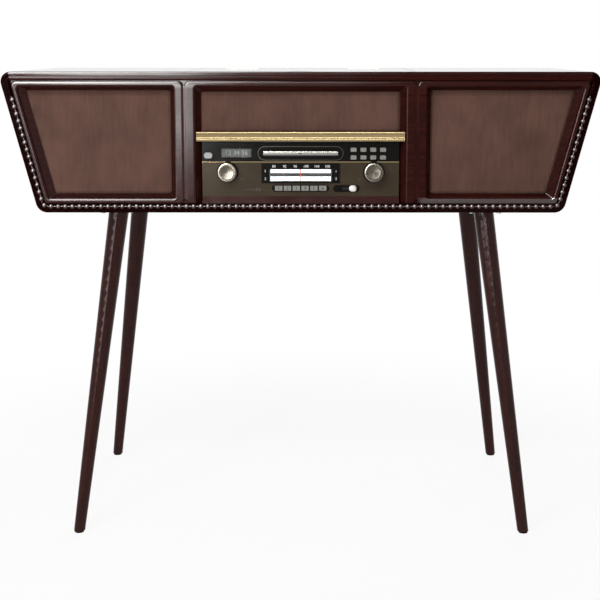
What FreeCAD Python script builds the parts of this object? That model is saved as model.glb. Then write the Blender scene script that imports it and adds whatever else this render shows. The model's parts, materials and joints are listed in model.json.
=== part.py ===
import FreeCAD, Part
import math
import os

# Retro record player in a console cabinet on splayed legs.
# Millimetres. +Z is up, the front faces -Y, and the origin lies on the floor
# under the middle of the cabinet.

V = FreeCAD.Vector
X_AXIS = V(1, 0, 0)
Y_AXIS = V(0, 1, 0)
Z_AXIS = V(0, 0, 1)
SAME_PLANE = 1e-6

# Cabinet
CABINET_BOTTOM_Z = 570.0      # underside above the floor, set by the legs
CABINET_HEIGHT = 242.0
CABINET_DEPTH = 410.0
BOTTOM_WIDTH = 907.0          # between the sharp lower corners
SIDE_SLOPE = 0.261            # sideways run per unit of height
TOP_CORNER_R = 17.0
BOTTOM_CORNER_R = 20.0
BOARD_T = 15.0
DIVIDER_T = 12.0
BAY_SEAM_X = 203.0            # seam between the centre bay and a speaker bay
REAR_RECESS = 8.0             # rear panel sits this far inside the rear edge
REAR_PANEL_T = 6.0

# Front frame
FRAME_T = 18.0
RIDGE_HEIGHT = 6.0            # ridge crest above the ground of the frame
RIM_HEIGHT = 2.0              # outer rim above the ground of the frame
RIM_W = 15.0
EDGE_ROUND_R = 3.0
LEAST_CORNER_R = 1.0
ROLL_W = 8.0                  # plain roll along the top edge, as wide as the beads
ROLL_H = 4.0
ROLL_INSET = 11.0             # middle of the roll and of the bead row from the edge
ROLL_FILLET_R = 3.4
ROLL_START_DROP = 40.0        # below the top: the beads end and the plain roll begins
BEAD_PITCH = 12.4
BEAD_R = 4.0
BEAD_NECK_R = 2.2
BEAD_SHOULDER_R = 3.4
BEAD_SHOULDER_L = 1.9         # neck to shoulder, along the row
BEAD_CREST_L = 4.2
RIDGE_INSET = 15.5            # outer side of a ridge from the cabinet edge
RIDGE_W = 10.0
SEAM_GAP = 0.6                # half of the groove between the two ridges of a stile
STILE_SEAM_SHIFT = 4.0        # groove between two ridges, inwards from the seam of the bays
SIDE_STILE_RIDGE_W = 17.0
CENTRE_STILE_RIDGE_W = 19.0
RIDGE_FILLET_R = 4.2
RIDGE_CORNER_R = 9.0
OPENING_CORNER_R = 4.0
SIDE_OPENING_BOTTOM = 32.0    # cloth edge from the cabinet's lower edge
SIDE_OPENING_TOP = 31.3
SIDE_OPENING_SLANT = 36.0     # square to the slanted edge
SIDE_OPENING_SEAM = 20.0      # cloth edge from the seam of the stile
CENTRE_OPENING_BOTTOM = 14.5
CENTRE_OPENING_TOP = 34.0
CENTRE_OPENING_SEAM = 32.0
BEVEL_FLOOR = 2.0             # straight lip behind the bevel of an opening
CLOTH_T = 1.2
BAFFLE_T = 8.0
BAFFLE_OVERLAP = 7.0          # baffle board past the edge of its opening

# Gold bar across the centre bay
BAR_LENGTH = 357.0
BAR_UP = 122.7                # above the cabinet's underside
BAR_HEIGHT = 18.0
BAR_DEPTH = 8.0
BAR_GROOVE_W = 4.0
BAR_GROOVE_DEPTH = 2.5
BAR_EDGE_R = 2.0
CROSS_RAIL_DEPTH = 10.0       # wooden rail behind the bar, forward of the frame's back

# Speakers
SPEAKER_R = 82.0
SPEAKER_CUTOUT_R = 72.0
SPEAKER_FLANGE_T = 4.0
SPEAKER_DEPTH = 62.0
SPEAKER_NECK_R = 40.0
MAGNET_R = 45.0
MAGNET_T = 18.0
CONE_T = 1.2
CONE_THROAT_R = 16.0
CONE_DEPTH = 30.0
CONE_CLEARANCE = 1.1          # cone rim inside the cut-out

# Legs
LEG_INSET_X = 130.5           # leg's top from the end of the underside
LEG_INSET_Y = 62.0            # leg's top from the front or rear edge
LEG_SPLAY_X = 71.5            # foot outwards of the leg's top
LEG_SPLAY_Y = 73.5
LEG_TOP_R = 17.5
LEG_FOOT_R = 9.75
LEG_PLATE_SIDE = 64.0
LEG_PLATE_T = 3.0
LEG_STUD_R = 4.0
LEG_STUD_L = 12.0
GLIDE_R = 8.0
GLIDE_T = 3.0
SCREW_R = 2.0
SCREW_HEAD_R = 4.0
SCREW_HEAD_T = 2.0
SCREW_LENGTH = 12.0
SCREW_INSET = 8.0             # screw axis from the edge of a plate or panel

# Lid and its hinges
LID_GAP = 1.0                 # between the lid and the boards beside it
LID_REAR_MARGIN = 50.0        # fixed rail behind the lid
HINGE_GAP = 3.0
HINGE_X = 120.0
HINGE_LENGTH = 60.0
HINGE_BARREL_R = 2.5
HINGE_PIN_R = 1.2
HINGE_RUNNING = 0.05
HINGE_DROP = 1.0              # hinge axis below the top face
HINGE_LEAF_T = 1.1
HINGE_LEAF_DROP = 12.0
HINGE_KNUCKLES = 5
KNUCKLE_GAP = 0.4
HINGE_ROOM = 0.6              # wood cut back round the barrel
FINGER_NOTCH_R = 32.0
FINGER_NOTCH_DEPTH = 13.0

# Turntable
DECK_DROP = 76.0              # deck face below the top
DECK_T = 6.0
PLATTER_X = -32.0
PLATTER_FORWARD = 6.0         # spindle in front of the bay's middle
PLATTER_R = 140.0
PLATTER_T = 8.0
PLATTER_GAP = 2.0             # deck to the drive ring under the platter
DRIVE_RING_R = 65.0
DRIVE_RING_H = 8.0
MAT_R = 138.0
MAT_T = 3.0
SPINDLE_R = 3.57
SPINDLE_ABOVE_MAT = 12.0
SPINDLE_COLLAR_R = 9.0
SPINDLE_NUT_T = 5.0
SHAFT_RUNNING = 0.05          # radial clearance of every turning shaft
REST_GAP = 0.3                # between faces that face each other across a joint
MOTOR_DISTANCE = 100.0        # motor from the spindle
MOTOR_ANGLE = 139.0           # degrees from +X
MOTOR_R = 18.0
MOTOR_H = 30.0
PULLEY_R = 6.0
PULLEY_SHAFT_R = 1.5
PULLEY_SHAFT_L = 20.0
BELT_W = 5.0
BELT_T = 0.8
BELT_GAP = 0.3

# Tonearm
ARM_X = 150.0
ARM_RISE = 40.0               # axis of the arm tube above the deck
ARM_REACH = 223.0             # pivot to stylus
ARM_TUBE_R = 4.0
ARM_REAR = 44.0
ARM_BASE_R = 24.0
ARM_BASE_T = 4.0
ARM_PILLAR_R = 12.0
YOKE_SHAFT_R = 4.0
YOKE_SHAFT_L = 18.0
YOKE_T = 4.0
YOKE_DROP = 10.0              # top of the yoke's disc below the arm axis
YOKE_CHEEK_T = 3.0
YOKE_CHEEK_D = 10.0
YOKE_INSIDE = 7.0             # arm axis to the inner face of a cheek
ARM_PIVOT_R = 1.5
COUNTERWEIGHT_R = 13.0
COUNTERWEIGHT_L = 24.0
COUNTERWEIGHT_FROM_PIVOT = 15.0
HEADSHELL_W = 18.0
HEADSHELL_L = 42.0
HEADSHELL_T = 3.0
HEADSHELL_NOSE = 10.5         # headshell in front of the stylus
CARTRIDGE_W = 14.0
CARTRIDGE_L = 22.0
CARTRIDGE_H = 12.0
CARTRIDGE_NOSE = 5.5
STYLUS_H = 3.4
STYLUS_TIP_R = 0.4
REST_FROM_PIVOT = 150.0
REST_SIDE = 13.0              # post of the arm rest beside the arm
REST_POST_R = 3.0
REST_FOOT_R = 8.0
REST_FOOT_T = 3.0
REST_HOOK_W = 6.0
REST_HOOK_T = 4.0
LIFTER_RADIUS = 57.0          # from the arm pivot
LIFTER_W = 5.0
LIFTER_T = 3.0
LIFTER_SWEEP = 56.0           # degrees of arc under the arm
LIFTER_START = -5.0           # degrees, past the arm at rest
LIFTER_GAP = 0.6
LIFTER_ROD_R = 2.5
LIFTER_ROD_ANGLE = 23.0
LIFTER_BUSH_R = 5.0
LIFTER_BUSH_H = 18.0
CUE_PIN_R = 2.0
CUE_PIN_L = 9.0
CUE_RISE = 14.0
CUE_FROM_PIVOT = 43.0
CUE_HUB_R = 5.0
CUE_LEVER_L = 34.0
CUE_LEVER_W = 5.0
CUE_LEVER_T = 4.0
CUE_SIDE = 16.0               # post of the cue lever beside the arm pivot
CUE_POST_W = 6.0
CUE_REST_ANGLE = 12.0         # degrees above level
CUE_TIP_R = 3.6

# Receiver
FASCIA_FIT = 1.5              # fascia to the sides of its opening
FASCIA_LIFT = 0.8             # fascia above the cabinet's floor
FASCIA_TOP_GAP = 1.2          # fascia below the gold bar
FASCIA_SPLIT_UP = 72.7        # seam of strip and panel above the fascia's lower edge
FASCIA_RECESS = 10.0          # behind the crest of the front ridges
FASCIA_T = 4.0
FASCIA_LIP_H = 8.0            # sloping lip along the lower edge
FASCIA_LIP_DEPTH = 2.5
CHASSIS_INSET = 5.5           # chassis inside the fascia's sides and top
CHASSIS_T = 1.5
CHASSIS_DEPTH = 175.0
CONTROL_UP = 54.2             # both round knobs above the fascia's lower edge
KNOB_X = 126.0
KNOB_R = 17.0
KNOB_SKIRT_R = 18.5
KNOB_SKIRT_T = 3.0
KNOB_L = 15.0
KNOB_EDGE_R = 2.5
KNOB_GROOVE_R = 10.5           # ring groove on the knob's face
KNOB_GAP = 0.4                # knob skirt before the fascia
KNOB_HOLE_GAP = 2.0
KNOB_SHAFT_R = 3.0
POT_R = 9.0
POT_L = 8.0
POT_BUSH_R = 5.0
BOARD_GAP = 16.0              # fascia back to the control board
BOARD_NOTCH = 5.0             # room in the board round the disc tray
PCB_T = 1.6
POWER_X = -159.3
POWER_UP = 10.3               # above the seam of strip and panel
POWER_W = 14.0
POWER_H = 10.0
POWER_CORNER_R = 4.6
KEY_COLUMNS = 4
KEY_FIRST_X = 91.0
KEY_PITCH_X = 16.9
KEY_UP = 7.0
KEY_PITCH_Z = 13.2
KEY_W = 10.0
KEY_H = 7.0
KEY_CORNER_R = 1.5
KEY_PROUD = 2.4
KEY_TRAVEL = 1.2
KEY_GAP = 0.3
KEY_STEM_R = 2.0
KEY_BACK = 2.0                # cap behind the fascia
DISPLAY_X = -110.6
DISPLAY_UP = 14.5
DISPLAY_W = 51.0
DISPLAY_H = 15.0
DISPLAY_PROUD = 0.8
DISPLAY_T = 2.8
TRAY_UP = 14.0                # middle of the tray's front above the seam
TRAY_W = 130.0
TRAY_FRONT_H = 10.0
TRAY_FRONT_T = 4.0
TRAY_L = 142.0
TRAY_T = 5.0
TRAY_GAP = 0.5
TRAY_DISC_R = 60.5
TRAY_DISC_BACK = 69.0         # disc's middle behind the tray's front
TRAY_DISC_DEPTH = 2.5
TRAY_PROUD = 2.0              # tray front before the fascia
TRAY_SLOT_W = 36.0            # slot for the disc motor and the reader
TRAY_SLOT_L = 62.0
BEZEL_W = 149.0
BEZEL_H = 26.0
BEZEL_BAND = 2.5
BEZEL_PROUD = 1.2
DIAL_W = 135.0
DIAL_UP = 35.2                # above the fascia's lower edge
DIAL_H = 34.0
DIAL_PROUD = 2.0
DIAL_STRIP_W = 108.0
DIAL_SLOT_UP = 2.5            # above the dial's lower edge
DIAL_SLOT_H = 21.5
DIAL_GLASS_T = 1.4
POINTER_W = 1.4
POINTER_T = 0.8
POINTER_GAP = 0.4
SWITCH_X = 90.0
SWITCH_UP = 25.7
SWITCH_W = 14.0
SWITCH_H = 11.0
SWITCH_PROUD = 4.0
SWITCH_TRAVEL = 20.0
SWITCH_GAP = 0.3
SWITCH_STEM_W = 6.0
SWITCH_STEM_H = 4.0
LEGEND_W = 100.0
LEGEND_H = 13.0
LEGEND_UP = 26.4
LEGEND_PROUD = 0.8
TRANSFORMER_W = 62.0
TRANSFORMER_D = 52.0
TRANSFORMER_H = 40.0
TRANSFORMER_X = 110.0         # left of the middle, the heatsink as far to the right
COIL_MARGIN = 9.0
HEATSINK_W = 70.0
HEATSINK_H = 45.0
HEATSINK_T = 4.0
FIN_COUNT = 7
FIN_L = 14.0
FIN_T = 2.0
SUPPLY_FROM_BOARD = 90.0     # supply behind the control board

# Rear
SOCKET_UP = 54.0              # above the cabinet's underside
SOCKET_R = 5.0
SOCKET_L = 11.0
SOCKET_FLANGE_T = 2.0
SOCKET_PITCH = 22.0
SOCKET_COUNT = 4
INLET_X = 130.0
INLET_W = 27.0
INLET_H = 20.0
INLET_DEPTH = 18.0
INLET_FLANGE = 4.0
INLET_WELL = 3.5
VENT_COUNT = 9
VENT_W = 5.0
VENT_H = 70.0
VENT_PITCH = 14.0
VENT_X = 0.0
VENT_UP = 100.0

# Derived places
TOP_Z = CABINET_BOTTOM_Z + CABINET_HEIGHT
FRONT_Y = -CABINET_DEPTH / 2
REAR_Y = CABINET_DEPTH / 2
GROUND_Y = FRONT_Y + RIDGE_HEIGHT
RIM_Y = GROUND_Y - RIM_HEIGHT
FLOOR_Z = CABINET_BOTTOM_Z + BOARD_T
CEILING_Z = TOP_Z - BOARD_T
REAR_PANEL_Y = REAR_Y - REAR_RECESS - REAR_PANEL_T
FRAME_BACK_Y = FRONT_Y + FRAME_T
BAFFLE_BACK_Y = FRAME_BACK_Y + BAFFLE_T
BAY_MIDDLE_Y = (BAFFLE_BACK_Y + REAR_PANEL_Y) / 2
PLATTER_Y = BAY_MIDDLE_Y - PLATTER_FORWARD
ARM_Y = BAY_MIDDLE_Y + (ARM_REACH + HEADSHELL_NOSE - ARM_REAR) / 2
BOTTOM_HALF = BOTTOM_WIDTH / 2
TOP_HALF = BOTTOM_HALF + SIDE_SLOPE * CABINET_HEIGHT
BAY_HALF = BAY_SEAM_X - DIVIDER_T
DECK_TOP_Z = TOP_Z - DECK_DROP
DECK_BOTTOM_Z = DECK_TOP_Z - DECK_T
RING_BOTTOM_Z = DECK_TOP_Z + PLATTER_GAP
PLATTER_BOTTOM_Z = RING_BOTTOM_Z + DRIVE_RING_H
MAT_BOTTOM_Z = PLATTER_BOTTOM_Z + PLATTER_T
MAT_TOP_Z = MAT_BOTTOM_Z + MAT_T
MOTOR_X = PLATTER_X + MOTOR_DISTANCE * math.cos(math.radians(MOTOR_ANGLE))
MOTOR_Y = PLATTER_Y + MOTOR_DISTANCE * math.sin(math.radians(MOTOR_ANGLE))
FASCIA_FRONT_Y = FRONT_Y + FASCIA_RECESS
FASCIA_BACK_Y = FASCIA_FRONT_Y + FASCIA_T
BOARD_Y = FASCIA_BACK_Y + BOARD_GAP
BAR_BACK_Y = FRAME_BACK_Y - CROSS_RAIL_DEPTH
BAR_BOTTOM_Z = CABINET_BOTTOM_Z + BAR_UP
BAR_TOP_Z = BAR_BOTTOM_Z + BAR_HEIGHT
ROLL_START_Z = TOP_Z - ROLL_START_DROP
LID_REAR_Y = REAR_Y - LID_REAR_MARGIN
ARM_Z = DECK_TOP_Z + ARM_RISE
CUE_Z = DECK_TOP_Z + CUE_RISE
CUE_X = ARM_X + CUE_SIDE
CUE_Y = ARM_Y - CUE_FROM_PIVOT
CENTRE_HALF = BAY_SEAM_X - CENTRE_OPENING_SEAM
LID_HOLE_HALF = BAY_SEAM_X - DIVIDER_T / 2
HINGE_Y = LID_REAR_Y - HINGE_GAP / 2
HINGE_Z = TOP_Z - HINGE_DROP
REAR_FACE_Y = REAR_PANEL_Y + REAR_PANEL_T
PLATE_BOTTOM_Z = CABINET_BOTTOM_Z - LEG_PLATE_T
LEG_TOP_X = BOTTOM_HALF - LEG_INSET_X
LEG_TOP_Y = CABINET_DEPTH / 2 - LEG_INSET_Y
FOOT_X = LEG_TOP_X + LEG_SPLAY_X
FOOT_Y = LEG_TOP_Y + LEG_SPLAY_Y
FASCIA_HALF_W = CENTRE_HALF - FASCIA_FIT
FASCIA_BOTTOM_Z = FLOOR_Z + FASCIA_LIFT
FASCIA_TOP_Z = BAR_BOTTOM_Z - FASCIA_TOP_GAP
FASCIA_SPLIT_Z = FASCIA_BOTTOM_Z + FASCIA_SPLIT_UP
CHASSIS_HALF_W = FASCIA_HALF_W - CHASSIS_INSET
CHASSIS_TOP_Z = FASCIA_TOP_Z - CHASSIS_INSET
CONTROL_Z = FASCIA_BOTTOM_Z + CONTROL_UP
POWER_Z = FASCIA_SPLIT_Z + POWER_UP
DISPLAY_Z = FASCIA_SPLIT_Z + DISPLAY_UP
TRAY_Z = FASCIA_SPLIT_Z + TRAY_UP
DIAL_BOTTOM_Z = FASCIA_BOTTOM_Z + DIAL_UP
DIAL_SLOT_BOTTOM_Z = DIAL_BOTTOM_Z + DIAL_SLOT_UP
SWITCH_Z = FASCIA_BOTTOM_Z + SWITCH_UP
LEGEND_Z = FASCIA_BOTTOM_Z + LEGEND_UP
SOCKET_Z = CABINET_BOTTOM_Z + SOCKET_UP
YOKE_TOP_Z = ARM_Z - YOKE_DROP
YOKE_BOTTOM_Z = YOKE_TOP_Z - YOKE_T
LIFTER_TOP_Z = ARM_Z - ARM_TUBE_R - LIFTER_GAP
TRAY_BOTTOM_Z = TRAY_Z - TRAY_FRONT_H / 2
TRAY_FRONT_Y = FASCIA_FRONT_Y - TRAY_PROUD
STYLUS_Y = ARM_Y - ARM_REACH
VENT_Z = CABINET_BOTTOM_Z + VENT_UP

# Corners of the cabinet's front, counter-clockwise from the lower left
OUTLINE = [
    (-BOTTOM_HALF, CABINET_BOTTOM_Z),
    (BOTTOM_HALF, CABINET_BOTTOM_Z),
    (TOP_HALF, TOP_Z),
    (-TOP_HALF, TOP_Z),
]
OUTLINE_RADII = [BOTTOM_CORNER_R, BOTTOM_CORNER_R, TOP_CORNER_R, TOP_CORNER_R]
LEFT_BAY = [
    (-BOTTOM_HALF, CABINET_BOTTOM_Z),
    (-BAY_SEAM_X, CABINET_BOTTOM_Z),
    (-BAY_SEAM_X, TOP_Z),
    (-TOP_HALF, TOP_Z),
]
CENTRE_BAY = [
    (-BAY_SEAM_X, CABINET_BOTTOM_Z),
    (BAY_SEAM_X, CABINET_BOTTOM_Z),
    (BAY_SEAM_X, TOP_Z),
    (-BAY_SEAM_X, TOP_Z),
]


def box(x0, x1, y0, y1, z0, z1):
    """Block between two corners."""
    return Part.makeBox(x1 - x0, y1 - y0, z1 - z0, V(x0, y0, z0))


def rod(radius, start, end):
    """Cylinder between two points."""
    return Part.makeCylinder(radius, (end - start).Length, start, end - start)


def ring(outer_r, inner_r, start, end):
    """Tube between two points."""
    return rod(outer_r, start, end).cut(rod(inner_r, start, end))


def fused(shapes):
    """One solid out of overlapping or touching shapes."""
    first, *rest = shapes
    return first.fuse(rest).removeSplitter()


def mirrored(shape):
    """Copy on the other side of the middle plane X = 0."""
    return shape.mirror(V(0, 0, 0), X_AXIS)


def inset(points, distances):
    """Polygon with each side moved inwards by its own distance."""
    count = len(points)
    lines = []
    for i in range(count):
        (x0, z0), (x1, z1) = points[i], points[(i + 1) % count]
        length = math.hypot(x1 - x0, z1 - z0)
        nx, nz = -(z1 - z0) / length, (x1 - x0) / length
        lines.append((nx, nz, nx * x0 + nz * z0 + distances[i]))
    corners = []
    for i in range(count):
        a1, b1, c1 = lines[i - 1]
        a2, b2, c2 = lines[i]
        det = a1 * b2 - a2 * b1
        corners.append(((c1 * b2 - c2 * b1) / det, (a1 * c2 - a2 * c1) / det))
    return corners


def rounded_wire(points, radii, y):
    """Closed wire in the plane Y = y with each corner rounded by its radius."""
    count = len(points)
    spots = [V(x, y, z) for x, z in points]
    stretches = []
    for i in range(count):
        corner = spots[i]
        to_last = (spots[i - 1] - corner).normalize()
        to_next = (spots[(i + 1) % count] - corner).normalize()
        if radii[i] <= 0:
            stretches.append((corner, None, corner))
            continue
        half = math.acos(to_last.dot(to_next)) / 2
        reach = radii[i] / math.tan(half)
        centre = corner + (to_last + to_next).normalize() * (radii[i] / math.sin(half))
        middle = centre + (corner - centre).normalize() * radii[i]
        stretches.append((corner + to_last * reach, middle, corner + to_next * reach))
    edges = []
    for i in range(count):
        start, middle, end = stretches[i]
        if middle is not None:
            edges.append(Part.Arc(start, middle, end).toShape())
        edges.append(Part.LineSegment(end, stretches[(i + 1) % count][0]).toShape())
    return Part.Wire(edges)


def prism(points, radii, y0, y1):
    """Rounded polygon of the front plane, carried from Y = y0 to Y = y1."""
    face = Part.Face(rounded_wire(points, radii, y0))
    return face.extrude(V(0, y1 - y0, 0))


def edges_at(shape, y):
    """Edges that lie in the plane Y = y."""
    def off(edge):
        return max(abs(edge.BoundBox.YMin - y), abs(edge.BoundBox.YMax - y))

    return [edge for edge in shape.Edges if off(edge) < SAME_PLANE]


def same(radius):
    """One radius for all four corners."""
    return [radius] * 4


def front_box(x, z, width, height, y0, y1):
    """Block centred on a point of the front plane."""
    return box(x - width / 2, x + width / 2, y0, y1, z - height / 2, z + height / 2)


def front_pill(x, z, width, height, radius, y0, y1):
    """Rounded block centred on a point of the front plane."""
    a, b = width / 2, height / 2
    corners = [(x - a, z - b), (x + a, z - b), (x + a, z + b), (x - a, z + b)]
    return prism(corners, same(radius), y0, y1)


def screw(head, direction):
    """Wood screw whose head lies on the point and whose shank runs along the direction."""
    top = rod(SCREW_HEAD_R, head, head - direction * SCREW_HEAD_T)
    return top.fuse(rod(SCREW_R, head, head + direction * SCREW_LENGTH)).removeSplitter()


def boards():
    """Bottom, side and top boards, mitred where they meet, behind the front frame."""
    inner = inset(OUTLINE, same(BOARD_T))
    outer_form = prism(OUTLINE, OUTLINE_RADII, FRAME_BACK_Y, REAR_Y)
    made = []
    for i in range(4):
        j = (i + 1) % 4
        quad = [OUTLINE[i], OUTLINE[j], inner[j], inner[i]]
        made.append(prism(quad, same(0), FRAME_BACK_Y, REAR_Y).common(outer_form))
    return made


def ridge(outer, inner):
    """Round moulding between two polygons, standing on the ground of the frame."""
    bar = prism(outer, same(RIDGE_CORNER_R), FRONT_Y, GROUND_Y)
    bar = bar.cut(prism(inner, same(OPENING_CORNER_R), FRONT_Y, GROUND_Y))
    return bar.makeFillet(RIDGE_FILLET_R, edges_at(bar, FRONT_Y))


def bevelled_hole(rim, opening):
    """Cutter of an opening: a bevel from the ridge down to the lip, then the straight lip."""
    lip_y = FRAME_BACK_Y - BEVEL_FLOOR
    mouth = rounded_wire(rim, same(OPENING_CORNER_R), GROUND_Y)
    throat = rounded_wire(opening, same(OPENING_CORNER_R), lip_y)
    bevel = Part.makeLoft([mouth, throat], True, True)
    return bevel.fuse(prism(opening, same(OPENING_CORNER_R), lip_y, FRAME_BACK_Y))


SIDE_INSETS = [SIDE_OPENING_BOTTOM, SIDE_OPENING_SEAM, SIDE_OPENING_TOP, SIDE_OPENING_SLANT]
SIDE_OPENING = inset(LEFT_BAY, SIDE_INSETS)
CENTRE_OPENING = inset(
    CENTRE_BAY, [CENTRE_OPENING_BOTTOM, CENTRE_OPENING_SEAM, CENTRE_OPENING_TOP, CENTRE_OPENING_SEAM])


def bar_block():
    """Room that the gold bar takes."""
    half = BAR_LENGTH / 2
    return box(-half, half, BAR_BACK_Y - BAR_DEPTH, BAR_BACK_Y, BAR_BOTTOM_Z, BAR_TOP_Z)


def front_frame():
    """Front frame: rim, plain roll at the top, ridges round the openings, bevelled openings, cross rail."""
    slab = prism(OUTLINE, OUTLINE_RADII, RIM_Y, FRAME_BACK_Y)
    slab = slab.makeFillet(EDGE_ROUND_R, edges_at(slab, RIM_Y))
    ground = [max(r - RIM_W, LEAST_CORNER_R) for r in OUTLINE_RADII]
    slab = slab.cut(prism(inset(OUTLINE, same(RIM_W)), ground, RIM_Y, GROUND_Y))

    roll_outside = ROLL_INSET - ROLL_W / 2
    roll_inside = ROLL_INSET + ROLL_W / 2
    roll_y = RIM_Y - ROLL_H
    crown = [r - roll_outside for r in OUTLINE_RADII]
    roll = prism(inset(OUTLINE, same(roll_outside)), crown, roll_y, RIM_Y)
    hollow = [max(r - roll_inside, LEAST_CORNER_R) for r in OUTLINE_RADII]
    roll = roll.cut(prism(inset(OUTLINE, same(roll_inside)), hollow, roll_y, RIM_Y))
    roll = roll.makeFillet(ROLL_FILLET_R, edges_at(roll, roll_y))
    roll = roll.common(box(-TOP_HALF, TOP_HALF, roll_y, RIM_Y, ROLL_START_Z, TOP_Z))

    edge_in = RIDGE_INSET + RIDGE_W
    side_out = SEAM_GAP - STILE_SEAM_SHIFT
    side_in = side_out + SIDE_STILE_RIDGE_W
    centre_out = SEAM_GAP + STILE_SEAM_SHIFT
    centre_in = centre_out + CENTRE_STILE_RIDGE_W
    side_mouth = inset(LEFT_BAY, [edge_in, side_in, edge_in, edge_in])
    side_ridge = ridge(inset(LEFT_BAY, [RIDGE_INSET, side_out, RIDGE_INSET, RIDGE_INSET]), side_mouth)
    centre_mouth = inset(CENTRE_BAY, [CENTRE_OPENING_BOTTOM, centre_in, edge_in, centre_in])
    centre_cut = inset(CENTRE_BAY, [0, centre_in, edge_in, centre_in])
    centre_outer = inset(CENTRE_BAY, [RIDGE_INSET, centre_out, RIDGE_INSET, centre_out])
    centre_ridge = ridge(centre_outer, centre_cut)

    side_hole = bevelled_hole(side_mouth, SIDE_OPENING)
    frame = slab.fuse([roll, side_ridge, mirrored(side_ridge), centre_ridge])
    frame = frame.cut([side_hole, mirrored(side_hole), bevelled_hole(centre_mouth, CENTRE_OPENING)])
    rail = box(-CENTRE_HALF, CENTRE_HALF, BAR_BACK_Y, FRAME_BACK_Y, BAR_BOTTOM_Z, BAR_TOP_Z)
    return frame.fuse(rail).removeSplitter().cut(bar_block())


def bead_run(start, end):
    """Half-round string of pearls between two points of the front plane, flat at its back."""
    run = V(end[0] - start[0], 0, end[1] - start[1])
    count = max(1, round(run.Length / BEAD_PITCH))
    pitch = run.Length / count
    side = [(0, BEAD_NECK_R), (BEAD_SHOULDER_L, BEAD_SHOULDER_R), ((pitch - BEAD_CREST_L) / 2, BEAD_R)]
    bead = side + [(pitch - x, radius) for x, radius in reversed(side[1:])]
    points = [V(i * pitch + x, 0, radius) for i in range(count) for x, radius in bead]
    points += [V(run.Length, 0, BEAD_NECK_R), V(run.Length, 0, 0), V(0, 0, 0)]
    outline = Part.makePolygon(points + points[:1])
    string = Part.Face(outline).revolve(V(0, 0, 0), X_AXIS, 180)
    string.rotate(V(0, 0, 0), Y_AXIS, -math.degrees(math.atan2(run.z, run.x)))
    string.translate(V(start[0], RIM_Y, start[1]))
    return string


def bead_trim():
    """Bead runs up both sides and along the bottom, with one pearl on each lower corner."""
    path = inset(OUTLINE, same(ROLL_INSET))
    low, high = path[1], path[2]
    radius = BOTTOM_CORNER_R - ROLL_INSET
    side = V(high[0] - low[0], 0, high[1] - low[1]).normalize()
    half = math.acos(side.dot(V(-1, 0, 0))) / 2
    reach = radius / math.tan(half)
    bottom_end = (low[0] - reach, low[1])
    side_start = (low[0] + side.x * reach, low[1] + side.z * reach)
    rise = (ROLL_START_Z - side_start[1]) / side.z - BEAD_R * SIDE_SLOPE
    side_end = (side_start[0] + side.x * rise, side_start[1] + side.z * rise)
    right = bead_run(side_start, side_end)
    bottom = bead_run((-bottom_end[0], bottom_end[1]), bottom_end)
    inward = (V(-1, 0, 0) + side).normalize()
    pearl_at = V(low[0], RIM_Y, low[1]) + inward * (radius / math.sin(half) - radius)
    front_half = box(-TOP_HALF, TOP_HALF, RIM_Y - BEAD_R, RIM_Y, CABINET_BOTTOM_Z, TOP_Z)
    pearl = Part.makeSphere(BEAD_R, pearl_at).common(front_half)
    shapes = [bottom, right, mirrored(right), pearl, mirrored(pearl)]
    return Part.makeCompound(shapes)


def turned(profile, x, z):
    """Solid of revolution about the line along Y through (x, z); the profile is (radius, y) points."""
    points = [V(x + r, y, z) for r, y in profile]
    face = Part.Face(Part.makePolygon(points + points[:1]))
    return face.revolve(V(x, 0, z), Y_AXIS, 360)


def grown(bay, insets, amount):
    """Opening polygon made larger on every side."""
    return inset(bay, [d - amount for d in insets])


SPEAKER_X = sum(x for x, z in SIDE_OPENING) / 4
SPEAKER_Z = sum(z for x, z in SIDE_OPENING) / 4


def side_cloth():
    """Flat cloth of a speaker bay, stretched over the front of its baffle board."""
    return prism(SIDE_OPENING, same(OPENING_CORNER_R), FRAME_BACK_Y - CLOTH_T, FRAME_BACK_Y)


def centre_cloth():
    """Flat cloth of the centre bay between the gold bar's rail and the top of the opening."""
    top = CENTRE_OPENING[2][1] - OPENING_CORNER_R
    return box(-CENTRE_HALF, CENTRE_HALF, FRAME_BACK_Y - CLOTH_T, FRAME_BACK_Y, BAR_TOP_Z, top)


def baffle_boards():
    """Boards behind the cloth: two with a speaker cut-out, one plain in the centre."""
    side = prism(grown(LEFT_BAY, SIDE_INSETS, BAFFLE_OVERLAP), same(0), FRAME_BACK_Y, BAFFLE_BACK_Y)
    middle = V(SPEAKER_X, FRAME_BACK_Y, SPEAKER_Z)
    side = side.cut(rod(SPEAKER_CUTOUT_R, middle, middle + Y_AXIS * BAFFLE_T))
    half = CENTRE_HALF + BAFFLE_OVERLAP
    top = CENTRE_OPENING[2][1] + BAFFLE_OVERLAP
    centre = box(-half, half, FRAME_BACK_Y, BAFFLE_BACK_Y, BAR_TOP_Z - BAFFLE_OVERLAP, top)
    return Part.makeCompound([side, centre, mirrored(side)])


def speaker_basket():
    """Flange, tapered basket and magnet of one loudspeaker."""
    flange_y = BAFFLE_BACK_Y
    back_y = flange_y + SPEAKER_DEPTH - MAGNET_T
    profile = [
        (0, back_y - SPEAKER_FLANGE_T),
        (SPEAKER_NECK_R, back_y - SPEAKER_FLANGE_T),
        (SPEAKER_CUTOUT_R, flange_y),
        (SPEAKER_R, flange_y),
        (SPEAKER_R, flange_y + SPEAKER_FLANGE_T),
        (SPEAKER_CUTOUT_R + SPEAKER_FLANGE_T, flange_y + SPEAKER_FLANGE_T),
        (SPEAKER_NECK_R + SPEAKER_FLANGE_T, back_y),
        (MAGNET_R, back_y),
        (MAGNET_R, back_y + MAGNET_T),
        (0, back_y + MAGNET_T),
    ]
    return turned(profile, SPEAKER_X, SPEAKER_Z)


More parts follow.
